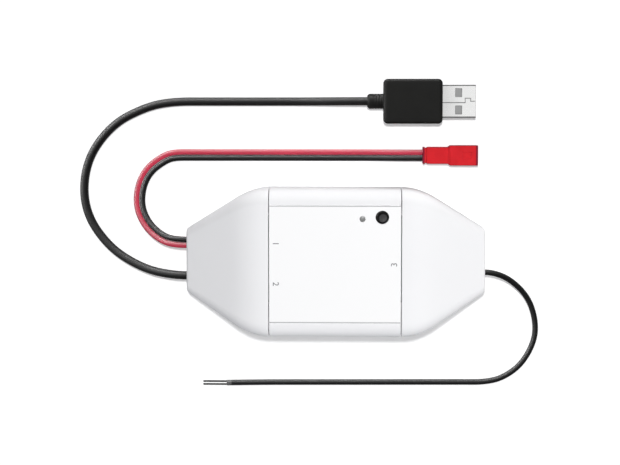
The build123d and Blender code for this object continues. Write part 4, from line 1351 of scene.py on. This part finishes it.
@dataclass
class SensorLead:
    """The bonded red and black leads with their connector."""

    diameter: float = 2.1
    red_length: float = 145.7
    black_length: float = 139.0
    red_route: tuple = (
        (-54.25, 5.1, 8.0),
        (-59.35, 5.1, 8.0),
        (-65.0, 6.8, 5.8),
        (-70.65, 11.5, 3.6),
        (-74.1, 18.5, 1.9),
        (-73.7, 26.5, 1.1),
        (-70.35, 33.15, 1.1),
        (-64.75, 37.4, 1.1),
        (-60.4, 39.1, 1.1),
        (-52.0, 39.1, 1.1),
        (3.9, 39.1, 1.1),
        (14.0, 39.1, 1.1),
        (24.0, 39.1, 2.7),
        (31.75, 39.1, 2.7),
    )
    black_route: tuple = (
        (-54.25, 7.25, 8.0),
        (-59.05, 7.25, 8.0),
        (-64.0, 8.75, 5.8),
        (-68.95, 12.9, 3.6),
        (-71.9, 18.9, 1.9),
        (-71.5, 25.9, 1.1),
        (-68.65, 31.65, 1.1),
        (-63.65, 35.4, 1.1),
        (-60.0, 36.95, 1.1),
        (-52.5, 36.95, 1.1),
        (3.9, 36.95, 1.1),
        (14.0, 36.95, 1.1),
        (24.0, 36.95, 2.7),
        (31.75, 36.95, 2.7),
    )
    rear_length: float = 9.6
    rear_half: tuple[float, float] = (3.1, 2.2)
    front_half: tuple[float, float] = (3.7, 2.7)
    corner: float = 0.4
    edge: float = 0.14
    lip_length: float = 0.8
    groove_length: float = 0.7
    groove_depth: float = 0.3
    slope_length: float = 0.9
    wall: float = 0.8
    cavity_depth: float = 9.0
    latch_setback: float = 4.2
    latch_half: tuple[float, float] = (1.6, 1.3)
    latch_depth: float = 0.16
    latch_edge: float = 0.12
    arc_steps: int = 5
    top_rings: int = 120
    corner_steps: int = 6
    side_steps: int = 60
    smooth_limit: float = 50.0

    def build(self, shop: Workshop) -> None:
        """Makes both leads and the connector.

        Args:
            shop: the workshop.
        """
        red = self.lead("red", self.red_length, self.red_route)
        black = self.lead("black", self.black_length, self.black_route)
        housing = self.connector(shop)
        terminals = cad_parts["connector_terminals"]
        red.declare(red.build(shop), [housing, terminals])
        black.declare(black.build(shop), [housing, terminals])

    def lead(self, color: str, length: float, route: tuple) -> Cord:
        """Returns one lead's plan."""
        node = f"sensor_lead_{color}"
        return Cord(
            f"{node}_sheath", node, f"lead_{color}", self.diameter, length, route, FarEnd.CONNECTOR, Flex.LIMP
        )

    def connector(self, shop: Workshop) -> bpy.types.Object:
        """Makes the connector as rings along it, from the lip over the slope into the cavity.

        The outline of the half width along the connector has rounded corners, and the half height
        follows it, less the difference of the two sections. The latch's recess is a product of
        smooth steps along and across the top, which lowers the points there.

        Args:
            shop: the workshop.

        Returns:
            The connector.
        """
        low, high = shop.box("connector_housing")
        middle = (low + high) / 2
        start, mouth = low[0], high[0]
        step = start + self.rear_length
        lip = start + self.lip_length
        rear, front = self.rear_half[0], self.front_half[0]
        sunk = rear - self.groove_depth
        outline = corner_arcs(
            [
                (start, rear - 2 * self.edge),
                (start, rear),
                (lip, rear),
                (lip, sunk),
                (lip + self.groove_length, sunk),
                (lip + self.groove_length, rear),
                (step - self.slope_length / 2, rear),
                (step + self.slope_length / 2, front),
                (mouth, front),
                (mouth, front - self.wall),
                (mouth - self.cavity_depth, front - self.wall),
            ],
            [self.edge] * 5 + [2 * self.edge] * 2 + [self.edge] * 2,
            self.arc_steps,
        )
        top_start, top_end = step + self.slope_length, mouth - 2 * self.edge
        spots = np.linspace(top_start, top_end, self.top_rings)
        first = int(np.flatnonzero(outline[:, 0] < top_start)[-1]) + 1
        flat = np.c_[spots, np.full(len(spots), front)]
        outline = np.concatenate([outline[:first], flat, outline[first:]])
        extra = self.rear_half[0] - self.rear_half[1]
        gap = np.interp(outline[:, 1], [rear, front], [extra, front - self.front_half[1]])
        inside = np.arange(len(outline)) > int(np.argmax(outline[:, 0]))
        corners = np.where(inside, self.corner / 2, self.corner)
        half_width = outline[:, 1]
        rings = rounded_rings(half_width, half_width - gap, corners, self.corner_steps, self.side_steps)
        along = np.broadcast_to(outline[:, :1], rings.shape[:2])
        latch_x = mouth - self.latch_setback
        across_window = self.smooth_box(rings[..., 0], self.latch_half[1])
        window = self.smooth_box(along - latch_x, self.latch_half[0]) * across_window
        top = (rings[..., 1] > 0) & ~inside[:, None]
        up = rings[..., 1] - self.latch_depth * window * top
        points = np.stack([along, middle[1] + rings[..., 0], middle[2] + up], axis=-1)
        faces = tube_faces(*points.shape[:2])
        made = shop.shell("sensor_connector_housing", points, faces, self.smooth_limit)
        return shop.finish(made, "connector_red", replaced=["connector_housing"])

    def smooth_box(self, distance: np.ndarray, half: float) -> np.ndarray:
        """One inside the half width and zero outside, with a smooth step of the edge's width."""
        share = np.clip((half - np.abs(distance)) / self.latch_edge + 0.5, 0, 1)
        return share * share * (3 - 2 * share)


@dataclass
class SignalLead:
    """The signal cable with its two cores, cut bare."""

    cord: Cord = field(
        default_factory=lambda: Cord(
            "signal_cable_sheath",
            "signal_cable",
            "signal_sheath",
            2.1,
            158.5,
            (
                (54.25, -4.5, 8.0),
                (57.4, -4.5, 8.0),
                (64.2, -7.4, 5.6),
                (70.8, -14.0, 2.9),
                (73.8, -22.2, 1.5),
                (73.8, -30.4, 1.1),
                (69.0, -39.5, 1.1),
                (61.8, -44.7, 1.1),
                (55.0, -46.2, 1.1),
                (47.7, -46.2, 1.1),
                (-15.4, -46.57, 1.1),
                (-28.0, -46.65, 1.1),
                (-40.65, -46.9, 1.1),
            ),
            FarEnd.BARE,
            Flex.LIMP,
        )
    )
    core_rounding: float = 0.06
    conductor_radius: float = 0.17
    conductor_recess: float = 0.04
    core_overlap: float = 1.5
    tip_reach: float = 1.0
    arc_steps: int = 4
    turns: int = 32

    def build(self, shop: Workshop) -> None:
        """Makes the cable and its cores.

        Args:
            shop: the workshop.
        """
        cable = self.cord.build(shop)
        cores = [self.core(shop, side) for side in ("upper", "lower")]
        self.cord.declare(cable, cores)

    def core(self, shop: Workshop, side: str) -> bpy.types.Object:
        """Makes one core, turned about its own axis: the insulation, its cut face and the conductor.

        A point is the axis plus the outline's radius times (cos, sin) of the turn.

        Args:
            shop: the workshop.
            side: upper or lower.

        Returns:
            The core.
        """
        low, high = shop.box(f"signal_core_{side}")
        radius = (high[2] - low[2]) / 2
        outline = corner_arcs(
            [
                (high[0] + self.core_overlap, radius),
                (low[0], radius),
                (low[0], self.conductor_radius),
                (low[0] + self.conductor_recess, self.conductor_radius),
                (low[0] + self.conductor_recess, self.conductor_recess),
            ],
            [self.core_rounding, 0, 0],
            self.arc_steps,
        )
        turn = np.linspace(0, 2 * math.pi, self.turns, endpoint=False)[None]
        along = np.broadcast_to(outline[:, :1], (len(outline), self.turns))
        across = (low[1] + high[1]) / 2 + outline[:, 1:] * np.cos(turn)
        up = (low[2] + high[2]) / 2 + outline[:, 1:] * np.sin(turn)
        points = np.stack([along, across, up], axis=-1)
        made = shop.shell(f"signal_wire_{side}", points, tube_faces(*points.shape[:2]))
        shop.finish(made, "core_wire", replaced=[f"signal_core_{side}"])
        made.data.materials.append(shop.materials["copper_tip"])
        centres = np.empty(3 * len(made.data.polygons))
        made.data.polygons.foreach_get("center", centres)
        axis_y, axis_z = (low[1] + high[1]) / 2 * MM, (low[2] + high[2]) / 2 * MM
        reach = np.hypot(centres[1::3] - axis_y, centres[2::3] - axis_z)
        tip = (reach < self.conductor_radius * MM) & (centres[0::3] < (low[0] + self.tip_reach) * MM)
        made.data.polygons.foreach_set("material_index", tip.astype(np.int32))
        return made


@dataclass
class Housing:
    """The tray, the three covers and their screws."""

    tray_roll: float = 0.14
    cover_roll: float = 0.14
    cap_roll: float = 0.3
    screw_roll: float = 0.12
    roll_steps: int = 3
    plane_reach: float = 0.02

    def build(self, shop: Workshop) -> None:
        """Rolls the edges where the shells meet.

        Args:
            shop: the workshop.
        """
        rolls = {
            "base_tray": self.tray_roll,
            "center_cover": self.cover_roll,
            "left_end_cover": self.cap_roll,
            "right_end_cover": self.cap_roll,
        }
        for node, roll in rolls.items():
            shell = shop.rolled(node, f"{node}_shell", roll, self.roll_steps, self.joints(shop, node))
            shop.finish(shell, "housing_white", replaced=[node])
        screws = shop.rolled("case_screws", "case_screw_set", self.screw_roll)
        shop.finish(screws, "screw_steel", replaced=["case_screws"])

    def joints(self, shop: Workshop, node: str) -> Callable[[np.ndarray], np.ndarray]:
        """Says which edges lie in the planes where one shell meets another.

        Args:
            shop: the workshop.
            node: the shell's node.

        Returns:
            A test of edge middles.
        """
        low, high = shop.box(node)
        parting = shop.box("base_tray")[1][2]
        seams = {
            "base_tray": [],
            "center_cover": [low[0], high[0]],
            "left_end_cover": [high[0]],
            "right_end_cover": [low[0]],
        }[node]

        def chosen(middles: np.ndarray) -> np.ndarray:
            """Whether each middle lies in one of the planes.

            Args:
                middles: the edges' middles.

            Returns:
                One truth value for each edge.
            """
            hit = np.abs(middles[:, 2] - parting) < self.plane_reach
            for seam in seams:
                hit |= np.abs(middles[:, 0] - seam) < self.plane_reach
            return hit

        return chosen


@dataclass
class Label:
    """The printed film in its bed, with a number beside each cable."""

    corner: float = 0.4
    edge: float = 0.04
    bore_radius: float = 2.4
    window_radius: float = 1.05
    hole_steps: int = 72
    print_and_shade_depth: float = 0.012
    number_height: float = 3.1
    number_inset: float = 2.2
    edge_shade_width: float = 0.36
    corner_steps: int = 8
    side_steps: int = 12
    numbers: tuple = (("1", -1, 7.4), ("2", -1, -7.0), ("3", 1, 0.0))

    def build(self, shop: Workshop) -> None:
        """Makes the film, its printed numbers and the painted shade lines along its long edges.

        Args:
            shop: the workshop.
        """
        low, high = shop.box("label")
        shop.finish(self.film(shop, low, high), "label_film", replaced=["label"])
        for text, side, place in self.numbers:
            number_x = side * (high[0] - self.number_inset)
            number = self.number(shop, text, (number_x, place, high[2]), side * math.pi / 2)
            shop.finish(number, "print_grey")
        # Painted shade: a grey line along each long edge of the film.
        for edge in (low[1], high[1]):
            shop.finish(self.rule(shop, low, high, edge), "edge_shade_grey")

    def rule(self, shop: Workshop, low: np.ndarray, high: np.ndarray, edge: float) -> bpy.types.Object:
        """Makes the painted shade line along one long edge of the film, where the gap at the film's edge
        falls into shade, as a thin flat block.

        Args:
            shop: the workshop.
            low: the label's lowest corner.
            high: its highest corner.
            edge: the edge's place across the part.

        Returns:
            The line.
        """
        side = 1 if edge > 0 else -1
        outer = edge - side * self.edge
        inner = outer - side * self.edge_shade_width
        ends = (low[0] + self.edge, high[0] - self.edge)
        levels = (high[2], high[2] + self.print_and_shade_depth)
        points = np.array([(x, y, z) for x in ends for y in (outer, inner) for z in levels])
        faces = [[0, 1, 3, 2], [4, 6, 7, 5], [0, 4, 5, 1], [2, 3, 7, 6], [0, 2, 6, 4], [1, 5, 7, 3]]
        name = "label_edge_shade_upper" if side > 0 else "label_edge_shade_lower"
        return shop.shell(name, points, faces)

    def ring(self, centre: Sequence[float], radius: float) -> np.ndarray:
        """Points of a circle, the centre plus the radius times (cos, sin) of the turn."""
        turn = np.linspace(0, 2 * math.pi, self.hole_steps, endpoint=False)
        return np.c_[centre[0] + radius * np.cos(turn), centre[1] + radius * np.sin(turn)]

    def film(self, shop: Workshop, low: np.ndarray, high: np.ndarray) -> bpy.types.Object:
        """Makes the film as a filled flat outline with two holes and a soft edge.

        Args:
            shop: the workshop.
            low: the label's lowest corner.
            high: its highest corner.

        Returns:
            The film.
        """
        half = (high - low)[:2] / 2
        rings = rounded_rings([half[0]], [half[1]], [self.corner], self.corner_steps, self.side_steps)
        edge = rings[0] + (low + high)[:2] / 2
        button_low, button_high = shop.box("button_cap")
        pipe_low, pipe_high = shop.box("light_pipe")
        outlines = [
            edge,
            self.ring(((button_low + button_high) / 2)[:2], self.bore_radius),
            self.ring(((pipe_low + pipe_high) / 2)[:2], self.window_radius),
        ]
        curve = bpy.data.curves.new("label_film_sheet", "CURVE")
        curve.dimensions = "2D"
        curve.fill_mode = "BOTH"
        curve.extrude = (high[2] - low[2]) / 2 - self.edge
        curve.bevel_depth = self.edge
        curve.bevel_resolution = 2
        curve.offset = -self.edge
        for outline in outlines:
            spline = curve.splines.new("POLY")
            spline.points.add(len(outline) - 1)
            flat = np.c_[outline, np.zeros(len(outline)), np.ones(len(outline))]
            spline.points.foreach_set("co", flat.ravel())
            spline.use_cyclic_u = True
        sheet = shop.piece("label_film_sheet", curve)
        sheet.location = (0, 0, (low[2] + high[2]) / 2)
        bpy.context.view_layer.update()
        made = shop.settle(sheet)
        made.data.shade_smooth()
        made.data.set_sharp_from_angle(angle=math.radians(SMOOTH_LIMIT))
        return made

    def number(self, shop: Workshop, text: str, place: Sequence[float], turn: float) -> bpy.types.Object:
        """Makes one printed number as thin ink on the film.

        Args:
            shop: the workshop.
            text: the number.
            place: its middle, on the film's face.
            turn: how far it is turned, so that it reads away from its cable.

        Returns:
            The number.
        """
        curve = bpy.data.curves.new(f"label_number_{text}", "FONT")
        curve.body = text
        curve.size = self.number_height
        curve.align_x = "CENTER"
        curve.align_y = "CENTER"
        curve.extrude = self.print_and_shade_depth / 2
        made = shop.piece(f"label_number_{text}", curve)
        made.location = (place[0], place[1], place[2] + self.print_and_shade_depth / 2)
        made.rotation_euler = (0, 0, turn)
        bpy.context.view_layer.update()
        return shop.settle(made)


@dataclass
class Controls:
    """The push button's cap and the light pipe beside it."""

    cap_radius: float = 2.1
    flange_top: float = 1.9
    socket_radius: float = 1.85
    socket_depth: float = 1.0
    rim: float = 0.25
    dish_radius: float = 1.5
    dish_depth: float = 0.35
    edge: float = 0.1
    pipe_radius: float = 1.0
    pipe_flange: float = 0.7
    pipe_flange_depth: float = 2.0
    pole: float = 0.01
    turns: int = 96
    cap_steps: int = 6
    dish_rings: int = 20
    pipe_steps: int = 4

    def build(self, shop: Workshop) -> None:
        """Makes the cap and the pipe."""
        shop.finish(self.cap(shop), "button_black", Body.BUTTON, ["button_cap"])
        shop.finish(self.pipe(shop), "light_clear", replaced=["light_pipe"])

    def cap(self, shop: Workshop) -> bpy.types.Object:
        """Makes the cap by turning its outline: socket, flange, rim and the dish.

        The dish is a parabola: its depth falls with the square of the distance from the middle.

        Args:
            shop: the workshop.

        Returns:
            The cap.
        """
        low, high = shop.box("button_cap")
        flange_radius = (high[0] - low[0]) / 2
        bottom, top = low[2], high[2]
        outline = corner_arcs(
            [
                (self.pole, bottom + self.socket_depth),
                (self.socket_radius, bottom + self.socket_depth),
                (self.socket_radius, bottom),
                (flange_radius, bottom),
                (flange_radius, bottom + self.flange_top),
                (self.cap_radius, bottom + self.flange_top),
                (self.cap_radius, top),
                (self.dish_radius, top),
            ],
            [self.edge] * 5 + [self.rim],
            self.cap_steps,
        )
        reach = np.linspace(self.dish_radius, self.pole, self.dish_rings)[1:]
        dish = np.c_[reach, top - self.dish_depth * (1 - (reach / self.dish_radius) ** 2)]
        outline = np.concatenate([outline, dish])
        centre = ((low + high) / 2)[:2]
        points = lathe_rings(outline, centre, self.turns)
        return shop.shell("push_button_cap", points, tube_faces(*points.shape[:2]))

    def pipe(self, shop: Workshop) -> bpy.types.Object:
        """Makes the light pipe by turning its outline: the rod, the flange and a soft top edge.

        Args:
            shop: the workshop.

        Returns:
            The light pipe.
        """
        low, high = shop.box("light_pipe")
        flange_radius = (high[0] - low[0]) / 2
        flange_top = high[2] - self.pipe_flange_depth
        outline = corner_arcs(
            [
                (self.pole, low[2]),
                (self.pipe_radius, low[2]),
                (self.pipe_radius, flange_top - self.pipe_flange),
                (flange_radius, flange_top - self.pipe_flange),
                (flange_radius, flange_top),
                (self.pipe_radius, flange_top),
                (self.pipe_radius, high[2]),
                (self.pole, high[2]),
            ],
            [self.edge] * 6,
            self.pipe_steps,
        )
        points = lathe_rings(outline, ((low + high) / 2)[:2], self.turns)
        return shop.shell("status_light_pipe", points, tube_faces(*points.shape[:2]))


@dataclass
class Inside:
    """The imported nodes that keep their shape, each in its slot's finish."""

    def build(self, shop: Workshop) -> None:
        """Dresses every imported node.

        Args:
            shop: the workshop.
        """
        for name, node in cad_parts.items():
            slot = node.data.materials[0].name.split(".")[0]
            node.data.materials[0] = shop.materials[slot]
            log.info("%s keeps its shape in %s", name, slot)


def main() -> None:
    """Builds each sub-assembly in order, then the studio."""
    shop = Workshop()
    Inside().build(shop)
    for assembly in (PowerLead(), SensorLead(), SignalLead(), Housing(), Label(), Controls()):
        assembly.build(shop)
        log.info("%s is built", type(assembly).__name__)
    Studio().build(shop)


if __name__ == "__main__":
    main()
